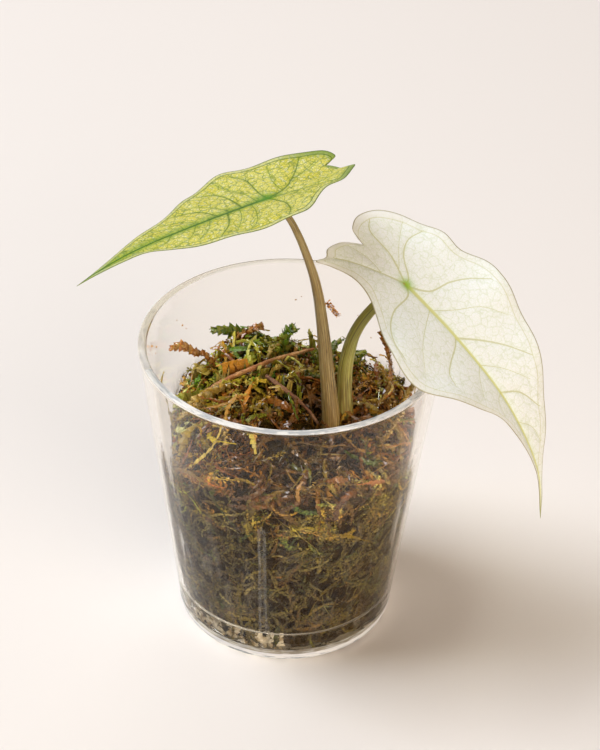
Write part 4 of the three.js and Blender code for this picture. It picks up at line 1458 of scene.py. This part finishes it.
def ruffled_strand(path, half, rings, rng, sides):
    """A flat strand of overlapping ragged leaves: rings that flare out and draw in by turns."""
    dense = curve_through(path)
    at = np.linspace(0, 1, rings)
    centre = at_fraction(dense, at)
    t, side, up = cross_frames(centre)
    step = lengths_along(dense)[-1] / (rings - 1)
    twist = rng.uniform(-1.2, 1.2)
    points, tip = [], []
    for k in range(rings):
        roll = twist * at[k] * math.pi
        across = math.cos(roll) * side[k] + math.sin(roll) * up[k]
        over = np.cross(t[k], across)
        flare, onward, near_tip = (1.25, 0.9, 1.0) if k % 2 else (0.7, -0.25, 0.25)
        wide = half * (0.35 + 0.65 * math.sin(math.pi * (0.12 + 0.82 * at[k])) ** 0.7)
        for j in range(sides):
            a = 2 * math.pi * j / sides
            share = flare * rng.uniform(0.75, 1.3)
            forward = step * onward * abs(math.cos(a)) * rng.uniform(0.5, 1.3)
            x = wide * share * math.cos(a)
            y = wide * 0.4 * share * math.sin(a)
            y += wide * 0.3 * rng.uniform(-1, 1) * abs(math.cos(a))
            points.append(centre[k] + across * x + over * y + t[k] * forward)
            tip.append(near_tip)
    return np.array(points), tube_faces(rings, sides), np.array(tip)


def broad_leaf(length, width, rng):
    """A broad cupped leaf with a wavy edge, like a moss frond, closed all round."""
    steps = 6
    bend = rng.uniform(0.2, 0.6)
    points = []
    for s in np.linspace(0, 1, steps):
        half = width / 2 * np.sin(math.pi * (0.06 + 0.88 * s)) ** 0.7
        z = length * (0.12 * s - bend * 0.5 * s**2)
        for y, lift in ((half, None), (0.0, 0.05), (-half, None), (0.0, -0.06)):
            if lift is None:
                lift = 0.3 * half + 0.12 * width * rng.uniform(-1, 1)
            points.append((length * s + 0.06 * length * rng.uniform(-1, 1), y, z + lift))
    return np.array(points), tube_faces(steps, 4), np.tile([1.0, 0.4, 1.0, 0.4], steps)


def curled_ribbon(length, width, twist, rng):
    """A flat dead strand with a ruffled, twisted outline, closed all round."""
    steps = 9
    s = np.linspace(0, 1, steps)
    y = length * 0.18 * rng.uniform(-1.2, 1.2) * np.sin(math.pi * s)
    centre = np.stack([length * s, y, length * 0.12 * np.sin(math.pi * s)], -1)
    t, side, up = cross_frames(centre)
    angle = math.radians(twist) * s
    across = np.cos(angle)[:, None] * side + np.sin(angle)[:, None] * up
    over = np.cross(t, across)
    half = width / 2 * np.sin(math.pi * (0.08 + 0.84 * s)) ** 0.5
    half = half * (1 + 0.25 * np.array([rng.uniform(-1, 1) for _ in s]))
    points = []
    for k in range(steps):
        ruffle = over[k] * width * 0.25 * rng.uniform(-1, 1)
        points += [
            centre[k] + across[k] * half[k] + ruffle,
            centre[k] + over[k] * 0.12 * width,
            centre[k] - across[k] * half[k] - ruffle,
            centre[k] - over[k] * 0.05 * width,
        ]
    return np.array(points), tube_faces(steps, 4), np.tile([1.0, 0.3, 1.0, 0.3], steps)


def loose_fibre(length, thick, rng):
    """A thin curling thread."""
    bends = [rng.uniform(-0.35, 0.35) for _ in range(4)]
    path = [(0, 0, 0)]
    heading, rise, step = 0.0, 0.15, length / 7
    for k in range(7):
        heading += bends[k % 4] + 0.12
        rise = rise * 0.7 + rng.uniform(-0.15, 0.2)
        x, y, z = path[-1]
        path.append((x + step * math.cos(heading), y + step * math.sin(heading), z + step * rise))
    points, faces, _, _ = rounded_rod(path, [thick, thick, 0.5 * thick], 3, 8, cap=1)
    return points, faces, np.full(len(points), 0.5)


def chip(size, rng):
    """A small broken grain of grit."""
    shape = bmesh.new()
    bmesh.ops.create_icosphere(shape, subdivisions=1, radius=size / 2)
    points = np.array([v.co[:] for v in shape.verts])
    faces = [[v.index for v in f.verts] for f in shape.faces]
    shape.free()
    points = points * np.array([1.0, rng.uniform(0.6, 0.95), rng.uniform(0.45, 0.8)])
    points = points * np.array([[rng.uniform(0.75, 1.2)] for _ in points])
    return points, faces, np.full(len(points), 0.5)


def keep_in_tumbler(mesh, gap=0.15, ceiling=None):
    """Presses what would pass through the wall, the base or a stalk against it.

    What stands higher over the mound than ceiling is laid down towards it.
    """
    p = vertex_places(mesh)
    if ceiling is not None:
        over = p[:, 2] - moss_height(0.93 * p[:, 0], 0.93 * p[:, 1]) - ceiling
        p[:, 2] -= 0.7 * np.maximum(over, 0)
    z = np.maximum(p[:, 2], BASE_THICKNESS + gap)
    turn = np.arctan2(p[:, 1], p[:, 0])
    r = np.hypot(p[:, 0], p[:, 1])
    uneven = 0.35 * (0.5 + 0.5 * np.sin(2.3 * p[:, 0] + 1.7 * p[:, 1]) * np.cos(1.9 * z))
    ribs = np.zeros(len(p))
    for middle in RIB_TURNS:
        across = np.abs(turn_from(turn, middle)) * r
        ribs = np.maximum(ribs, (across < RIB_WIDTH / 2 + 0.5) & (z < RIB_TOP + 1))
    ledge = np.where(z < LEDGE_HEIGHT + 0.4, LEDGE_STEP, 0)
    limit = outer_radius(z) - WALL - ledge - gap - ribs * 0.7
    # the moss stands back from the wall at both sides, most of all at the left
    back = np.where(np.cos(turn) < 0, 2.5, 0.7) * np.clip((72 - z) / 6, 0, 1)
    limit = limit - back * np.clip((np.abs(np.cos(turn)) - 0.86) / 0.1, 0, 1)
    over = np.maximum(r - (limit - uneven), 0)
    new_r = np.where(over > 0, np.minimum(limit - uneven * np.exp(-over / 1.5), limit), r)
    p[:, :2] *= np.where(r > 0, new_r / np.maximum(r, 1e-6), 1)[:, None]
    p[:, 2] = z
    for stalk in (STALK_LEFT, STALK_RIGHT):
        dense = curve_through(stalk["path"])
        near = np.where((np.abs(p[:, 0] - 13) < 9) & (np.abs(p[:, 1] + 7) < 9))[0]
        closest = np.linalg.norm(p[near][:, None] - dense[None], axis=2).argmin(axis=1)
        off = p[near] - dense[closest]
        away = np.linalg.norm(off, axis=1)
        need = evenly(stalk["radii"], len(dense))[closest] + 0.12
        push = np.where(away < need, need / np.maximum(away, 1e-3), 1)
        p[near] = dense[closest] + off * push[:, None]
    for twig in (TWIG_LONG, TWIG_THIN):
        dense = curve_through(twig["path"])
        near = np.where(np.abs(p[:, 2] - 71) < 9)[0]
        gaps = np.linalg.norm(p[near][:, None, :2] - dense[None, :, :2], axis=2)
        sunk = dense[gaps.argmin(axis=1), 2] - 0.9 - 0.5 * np.sin(3.1 * p[near, 0]) ** 2
        over = p[near, 2] - sunk + 2
        covers = (gaps.min(axis=1) < 1.5) & (over > 0)
        p[near, 2] = np.where(covers, sunk - 2 * np.exp(-over / 2), p[near, 2])
    mesh.vertices.foreach_set("co", (p * MM).astype(np.float32).ravel())
    mesh.update()


def scatter_tree():
    """Geometry Nodes that scatter a collection's shapes over a mesh, lying along it."""
    if "moss scatter" in bpy.data.node_groups:
        return bpy.data.node_groups["moss scatter"]
    g = Graph(bpy.data.node_groups.new("moss scatter", "GeometryNodeTree"))
    face = g.tree.interface
    for key, kind, default in (
        ("Bed", "Geometry", None), ("Shapes", "Collection", None), ("Density", "Float", 1000.0),
        ("Smallest", "Float", 0.7), ("Largest", "Float", 1.3), ("Lowest tilt", "Float", -0.2),
        ("Highest tilt", "Float", 0.5), ("Rise", "Float", 0.0), ("Seed", "Int", None),
        ("Material", "Material", None),
    ):
        socket = face.new_socket(name=key, in_out="INPUT", socket_type="NodeSocket" + kind)
        if default is not None:
            socket.default_value = default
    face.new_socket(name="Moss", in_out="OUTPUT", socket_type="NodeSocketGeometry")
    given = g.node("NodeGroupInput").outputs

    def between(low, high, salt):
        """A random number for each strand."""
        value = g.node("FunctionNodeRandomValue", {"data_type": "FLOAT"})
        limits = [socket for socket in value.inputs if socket.enabled]
        g.feed(limits[0], low)
        g.feed(limits[1], high)
        g.feed(value.inputs["Seed"], g.maths("ADD", given["Seed"], salt))
        return next(socket for socket in value.outputs if socket.enabled)

    points = g.node(
        "GeometryNodeDistributePointsOnFaces", Mesh=given["Bed"], Density=given["Density"],
        Seed=given["Seed"],
    ).outputs
    rotation = g.node(
        "FunctionNodeAlignRotationToVector", {"axis": "Z"}, Vector=points["Normal"]
    ).outputs[0]
    spin = g.combine(z=between(0.0, 2 * math.pi, 23.0))
    tilt = between(given["Lowest tilt"], given["Highest tilt"], 11.0)
    for angles in (spin, g.combine(x=between(-0.5, 0.5, 17.0), y=tilt)):
        turn = g.node("FunctionNodeEulerToRotation", n0=angles).outputs[0]
        rotation = g.node(
            "FunctionNodeRotateRotation", {"rotation_space": "LOCAL"}, n0=rotation, n1=turn
        ).outputs[0]
    moss = g.node(
        "GeometryNodeSetPosition", Geometry=points["Points"],
        Offset=g.vector("SCALE", points["Normal"], Scale=given["Rise"]),
    ).outputs[0]
    shapes = g.node(
        "GeometryNodeCollectionInfo", Collection=given["Shapes"], Separate_Children=True,
        Reset_Children=True,
    ).outputs[0]
    moss = g.node(
        "GeometryNodeInstanceOnPoints", Points=moss, Instance=shapes, Pick_Instance=True,
        Rotation=rotation, Scale=between(given["Smallest"], given["Largest"], 31.0),
    ).outputs[0]
    position = g.node("GeometryNodeInputPosition").outputs[0]
    for name, kind, value in (
        ("strand", "FLOAT", between(0.0, 1.0, 41.0)), ("seat", "FLOAT_VECTOR", position),
    ):
        moss = g.node(
            "GeometryNodeStoreNamedAttribute", {"data_type": kind, "domain": "INSTANCE"},
            Geometry=moss, Name=name, Value=value,
        ).outputs[0]
    moss = g.node("GeometryNodeRealizeInstances", n0=moss).outputs[0]
    moss = g.node("GeometryNodeSetMaterial", Geometry=moss, Material=given["Material"]).outputs[0]
    g.node("NodeGroupOutput", Moss=moss)
    return g.tree


def scatter(name, ground, shapes, material, count, wall, smooth, sizes):
    """A plain mesh object of shapes scattered over a ground by the Geometry Nodes tree.

    sizes holds the smallest and largest scale, the lowest and highest tilt, and the rise.
    """
    scene = bpy.context.scene
    holder = bpy.data.collections.new(name + " shapes")
    for k, (points, faces, tip) in enumerate(shapes):
        part = new_mesh(f"{name}_shape_{k}", points, faces, {"tip": tip}, smooth=smooth)
        scene.collection.objects.unlink(part)
        holder.objects.link(part)
    carrier = bpy.data.objects.new(name, ground.data.copy())
    scene.collection.objects.link(carrier)
    modifier = carrier.modifiers.new("scatter", "NODES")
    modifier.node_group = scatter_tree()
    values = {
        "Shapes": holder, "Density": count / sum(face.area for face in carrier.data.polygons),
        "Seed": scene.alocasia_moss.seed + len(name), "Material": material,
    }
    values.update(zip(("Smallest", "Largest", "Lowest tilt", "Highest tilt", "Rise"), sizes))
    for item in modifier.node_group.interface.items_tree:
        if item.name in values:
            modifier[item.identifier] = values[item.name]
    bpy.context.view_layer.update()
    evaluated = carrier.evaluated_get(bpy.context.evaluated_depsgraph_get())
    mesh = bpy.data.meshes.new_from_object(evaluated)
    carrier.modifiers.clear()
    ground_copy, carrier.data = carrier.data, mesh
    bpy.data.meshes.remove(ground_copy)
    for part in list(holder.objects):
        bpy.data.meshes.remove(part.data)
    bpy.data.collections.remove(holder)
    keep_in_tumbler(mesh, ceiling=1.0 if wall else 3.0)
    count = len(mesh.vertices)
    strand, seat = np.empty(count, np.float32), np.empty(3 * count, np.float32)
    mesh.attributes["strand"].data.foreach_get("value", strand)
    mesh.attributes["seat"].data.foreach_get("vector", seat)
    seat = seat.reshape(-1, 3).astype(float) / MM
    tint = wall_tint if wall else top_tint
    store(mesh, "tint", tint(seat, strand.astype(float), vertex_places(mesh)))
    mesh.attributes.remove(mesh.attributes["seat"])
    return carrier


def moss_material(name, gloss, through, wet, fine):
    """Damp moss: the strand's own tint, with painted shade at its leaves' roots, and wet glints."""
    skin = Skin(name, None)
    skin.colour = skin.attribute("tint", "Color")
    blotch, speckle = mottle(skin, 5.0, 0.5)
    skin.paint(skin.times(blotch, 0.25), (110, 70, 26))
    # painted shade: darker towards the leaves' roots, the cores and the drawn-in rings of a strand,
    # where the shoot shades itself
    skin.paint(skin.fade(skin.attribute("tip"), 0.0, 0.6, 0.45), (44, 28, 8))
    skin.paint(skin.times(speckle, 0.1), (226, 188, 96))
    cells = skin.noise(skin.place(), 1900.0, 4.0)
    skin.paint(skin.spread(cells, 0.46, 0.58, 0.0, fine), (24, 18, 5))
    skin.glow_through(through)
    roughness = skin.spread(speckle, 0.0, 1.0, gloss, gloss + 0.25)
    return skin.finish(Roughness=roughness, Coat_Weight=wet, Coat_Roughness=0.09)


class ALOCASIA_OT_moss(bpy.types.Operator):
    """Packs the tumbler with moss: a dark bed, leafy shoots, ribbons, fibres and grit"""

    bl_idname = "alocasia.moss"
    bl_label = "Moss"

    def execute(self, context):
        settings = context.scene.alocasia_moss
        rng = np.random.default_rng(settings.seed)
        rows = bed_rows()
        ends = [(0, 0, float(moss_height(0.0, 0.0)) - 0.8), (0, 0, BASE_THICKNESS + CLEARANCE)]
        points = np.vstack([*rows, ends])
        rough = 0.9 * fractal(points, 3.0, 3, 1.7)
        lumpy = points + unit(points - (0, 0, 36.0)) * (rough - 0.6)[:, None]
        lumpy[-1] = points[-1]
        faces = fanned_faces(len(rows), BED_SIDES, len(points) - 1, len(points) - 2)
        bed = new_mesh("moss_bed", lumpy, faces)
        keep_in_tumbler(bed.data, 0.5)
        # the bed's near-black tones are partly the moss's own and partly painted shade in the gaps
        # between the shoots
        packed = earthy_material(
            "packed moss", (7.0, 1.2), ((28, 17, 3), (54, 40, 8), (78, 56, 14)), 0.4, (0.8, 0.0006),
            Roughness=0.9, Specular_IOR_Level=0.1,
        )
        finish_piece(bed, packed, "moss", "moss")
        grounds = moss_grounds(points, ring_quads(len(rows), BED_SIDES))
        shoots = [
            leafy_shoot(bent_path(*bend), leaf, leaves, rng, 42, 0.62, 3, 4)
            for *bend, leaf, leaves in (
                (7, 70, -60, 1.7, 15), (9, 130, 50, 2.1, 16), (11, 60, 90, 1.9, 19),
                (8, 200, -30, 2.3, 14), (12, 90, 60, 1.6, 20),
            )
        ]
        ruffles = [
            ruffled_strand(bent_path(*bend), half, rings, rng, 5)
            for *bend, half, rings in (
                (9, 90, 70, 0.8, 13), (12, 60, -90, 0.66, 15), (14, 140, 40, 0.92, 17),
                (8, 210, -50, 0.76, 11), (16, 80, 120, 0.6, 17),
            )
        ]
        fronds = [broad_leaf(*size, rng) for size in ((5.2, 2.2), (4.2, 1.8), (6, 2.0))]
        sizes = ((9, 1.0, 120), (13, 0.8, -200), (7, 1.3, 60), (16, 0.9, 300))
        ribbons = [curled_ribbon(*size, rng) for size in sizes]
        sizes = ((14, 0.11), (20, 0.09), (10, 0.14), (17, 0.1))
        threads = [loose_fibre(*size, rng) for size in sizes]
        chips = [chip(size, rng) for size in (1.8, 2.6, 1.3, 3.2)]
        damp = moss_material("damp moss", 0.22, 0.3, 0.9, 0.2)
        pressed = moss_material("pressed moss", 0.4, 0.15, 0.2, 0.8)
        grit = earthy_material(
            "grit", (2.2, 0.5), ((214, 206, 190), (150, 128, 92), (96, 80, 54)), 0.3, Roughness=0.7
        )
        few, many = settings.top_shoots, settings.wall_shoots
        ribbon, fibre = (0.5, 1.2, -0.12, 0.2, 0.0004), (0.5, 1.1, -0.02, 0.1, 0.0009)
        flat, frond = (0.4, 1.0, -0.25, 0.15, 0.0005), (0.7, 1.15, -0.4, 0.2, -0.0006)
        for name, ground, shapes, material, count, sizes in (
            ("moss_shoots", "top", shoots, damp, few, (0.65, 1.25, -0.4, 0.25, -0.0012)),
            ("moss_ruffles", "top", ruffles, damp, few * 2 // 3, (0.6, 1.25, -0.35, 0.3, -0.0008)),
            ("moss_fronds", "green", fronds, damp, settings.fronds, frond),
            ("moss_pressed_shoots", "wall", shoots, pressed, many, flat),
            ("moss_pressed_ruffles", "wall", ruffles, pressed, many * 3 // 4, flat),
            ("moss_ribbons", "top", ribbons, damp, settings.ribbons // 4, ribbon),
            ("moss_ribbons_pressed", "wall", ribbons, damp, settings.ribbons, ribbon),
            ("moss_fibres", "top", threads, damp, settings.fibres // 6, fibre),
            ("moss_fibres_pressed", "wall", threads, damp, settings.fibres, fibre),
            ("grit", "low", chips, grit, settings.grit, (0.5, 1.2, -1.5, 1.5, 0.0012)),
        ):
            wall, smooth = ground in ("wall", "low"), sizes in (ribbon, fibre)
            piece = scatter(name, grounds[ground], shapes, material, count, wall, smooth, sizes)
            finish_piece(piece, material, "moss")
        for ground in grounds.values():
            bpy.data.meshes.remove(ground.data)
        return {"FINISHED"}


def joined_mesh(name, parts):
    """One object of many parts, each given by its points, faces, nearness to a tip and colours."""
    points, faces, tips, tints = zip(*parts)
    firsts = np.cumsum([0, *map(len, points)])
    faces = [[v + first for v in face] for first, part in zip(firsts, faces) for face in part]
    fields = {"tip": np.concatenate(tips), "tint": with_alpha(np.vstack(tints))}
    return new_mesh(name, np.vstack(points), faces, fields, smooth=False)


class ALOCASIA_OT_sprigs(bpy.types.Operator):
    """Grows the larger sprigs on the skyline of the moss and the scrap on the wall"""

    bl_idname = "alocasia.sprigs"
    bl_label = "Sprigs"

    def execute(self, context):
        rng = np.random.default_rng(context.scene.alocasia_moss.seed + 1)
        parts = []
        for path, thick, tone in SPRIGS:
            length = lengths_along(curve_through(path))[-1]
            tones = linear(MOSS_COLOURS[tone])
            for p, faces, tip in (
                leafy_shoot(path, 1.5 * thick, int(length * 4), rng, 34, 0.7, 6, 14),
                ruffled_strand(path, 1.15 * thick, int(length * 1.3) | 1, rng, 8),
            ):
                parts.append((p, faces, tip, tones[(np.arange(len(p)) // 4 * 7) % 5]))
        for turn, z, size in CRUMBS:
            p, faces, tip = chip(size, rng)
            reach, turn = float(inner_radius(z)) - 0.3 * size, math.radians(turn)
            p = p + (reach * math.cos(turn), reach * math.sin(turn), z)
            parts.append((p, faces, tip, [linear(CRUMB_COLOUR)] * len(p)))
        sprigs = joined_mesh("moss_sprigs", parts)
        keep_in_tumbler(sprigs.data)
        damp = bpy.data.materials["damp moss"]
        finish_piece(sprigs, damp, "moss")
        p, faces, tip = leafy_shoot(SCRAP_PATH, 1.5, 26, rng, 46, 0.8, 5, 8)
        parts = [(p, faces, tip, [linear(SCRAP_COLOUR)] * len(p))]
        finish_piece(joined_mesh("moss_scrap_dressed", parts), damp, "moss", "moss_scrap")
        return {"FINISHED"}


class ALOCASIA_OT_corm(bpy.types.Operator):
    """Gives the buried corm its fibrous skin"""

    bl_idname = "alocasia.corm"
    bl_label = "Corm"

    def execute(self, context):
        tones = ((150, 110, 70), (96, 66, 40))
        skin = earthy_material("corm skin", (3.0, 0.6), tones, bump=(0.5, 0.0004), Roughness=0.7)
        for slot in frame["nodes"]["corm"].material_slots:
            slot.material = skin
        return {"FINISHED"}


# ---- The stage ----


def add_lamp(name, place, size, power, colour):
    """Adds a square soft light aimed at the plant."""
    data = bpy.data.lights.new(name, "AREA")
    data.shape = "SQUARE"
    data.size, data.energy, data.color = size, power, colour
    lamp = bpy.data.objects.new(name, data)
    bpy.context.scene.collection.objects.link(lamp)
    place = Vector(place)
    aim = (Vector((0, 0, 0.05)) - place).to_track_quat("-Z", "Y")
    lamp.matrix_world = Matrix.Translation(place) @ aim.to_matrix().to_4x4()


def add_camera():
    """Adds the camera at the photograph's viewing angle."""
    elevation, roll = math.radians(CAMERA_ELEVATION), math.radians(CAMERA_ROLL)
    back = Vector((0, -math.cos(elevation), math.sin(elevation)))
    level = Vector((1, 0, 0))
    over = back.cross(level)
    right = level * math.cos(roll) + over * math.sin(roll)
    up = over * math.cos(roll) - level * math.sin(roll)
    data = bpy.data.cameras.new("camera")
    data.sensor_width = SENSOR
    data.lens = CAMERA_FOCUS * SENSOR / PHOTO_HEIGHT
    data.clip_start = 0.01
    camera = bpy.data.objects.new("camera", data)
    bpy.context.scene.collection.objects.link(camera)
    place = Matrix.Translation(Vector(CAMERA_TARGET) + back * CAMERA_DISTANCE)
    camera.matrix_world = place @ Matrix((right, up, back)).transposed().to_4x4()
    bpy.context.scene.camera = camera


class ALOCASIA_OT_stage(bpy.types.Operator):
    """Sets the floor, the lights and the camera"""

    bl_idname = "alocasia.stage"
    bl_label = "Stage"

    def execute(self, context):
        settings = context.scene.alocasia_stage
        skin = Skin("paper floor", (*settings.floor, 1))
        darker = (*(0.9 * c for c in settings.floor), 1)
        skin.paint(skin.times(skin.noise(skin.place(), 400.0, 2.0), 0.03), darker)
        size, low = 3000.0, -0.05
        corners = [(-size, -size, low), (size, -size, low), (size, size, low), (-size, size, low)]
        floor = new_mesh("floor", corners, [[0, 1, 2, 3]], smooth=False)
        floor.data.materials.append(skin.finish(Roughness=0.9, Specular_IOR_Level=0.1))
        world = bpy.data.worlds.new("soft room")
        world.use_nodes = True
        background = world.node_tree.nodes["Background"]
        background.inputs["Color"].default_value = (1.0, 0.62, 0.3, 1)
        background.inputs["Strength"].default_value = settings.fill
        context.scene.world = world
        add_lamp("key", (-0.82, 0.11, 1.45), 0.85, settings.key, (0.86, 0.93, 1.0))
        add_lamp("fill", (0.9, -1.25, 0.4), 1.4, 0.88 * settings.key, (1.0, 0.9, 0.78))
        add_lamp("back", (0.15, 1.3, 0.75), 0.9, 0.12 * settings.key, (1.0, 1.0, 1.0))
        add_camera()
        context.scene.view_settings.view_transform = "Standard"
        return {"FINISHED"}


# ---- Panel and registration ----

STEPS = (
    ALOCASIA_OT_stage,
    ALOCASIA_OT_tumbler,
    ALOCASIA_OT_moss,
    ALOCASIA_OT_sprigs,
    ALOCASIA_OT_corm,
    ALOCASIA_OT_stalks,
    ALOCASIA_OT_twigs,
    ALOCASIA_OT_leaf_left,
    ALOCASIA_OT_leaf_right,
)
SETTINGS = {
    "alocasia_tumbler": TumblerSettings,
    "alocasia_blade": BladeSettings,
    "alocasia_moss": MossSettings,
    "alocasia_stage": StageSettings,
}


class ALOCASIA_PT_parts(bpy.types.Panel):
    """Lists the plant's parts and their settings"""

    bl_idname = "ALOCASIA_PT_parts"
    bl_label = "Potted alocasia"
    bl_space_type = "VIEW_3D"
    bl_region_type = "UI"
    bl_category = "Alocasia"

    def draw(self, context):
        for step in STEPS:
            self.layout.operator(step.bl_idname)
        for key in SETTINGS:
            box = self.layout.box()
            settings = getattr(context.scene, key)
            for name in settings.__annotations__:
                box.prop(settings, name)


def register():
    for kind in (*SETTINGS.values(), *STEPS, ALOCASIA_PT_parts):
        bpy.utils.register_class(kind)
    for key, kind in SETTINGS.items():
        setattr(bpy.types.Scene, key, PointerProperty(type=kind))


def unregister():
    for key in SETTINGS:
        delattr(bpy.types.Scene, key)
    for kind in (ALOCASIA_PT_parts, *reversed(STEPS), *SETTINGS.values()):
        bpy.utils.unregister_class(kind)


def main():
    register()
    bpy.ops.alocasia.stage()
    bpy.ops.alocasia.tumbler()
    bpy.ops.alocasia.moss()
    bpy.ops.alocasia.sprigs()
    bpy.ops.alocasia.corm()
    bpy.ops.alocasia.stalks()
    bpy.ops.alocasia.twigs()
    bpy.ops.alocasia.leaf_left()
    bpy.ops.alocasia.leaf_right()


if __name__ == "__main__":
    main()
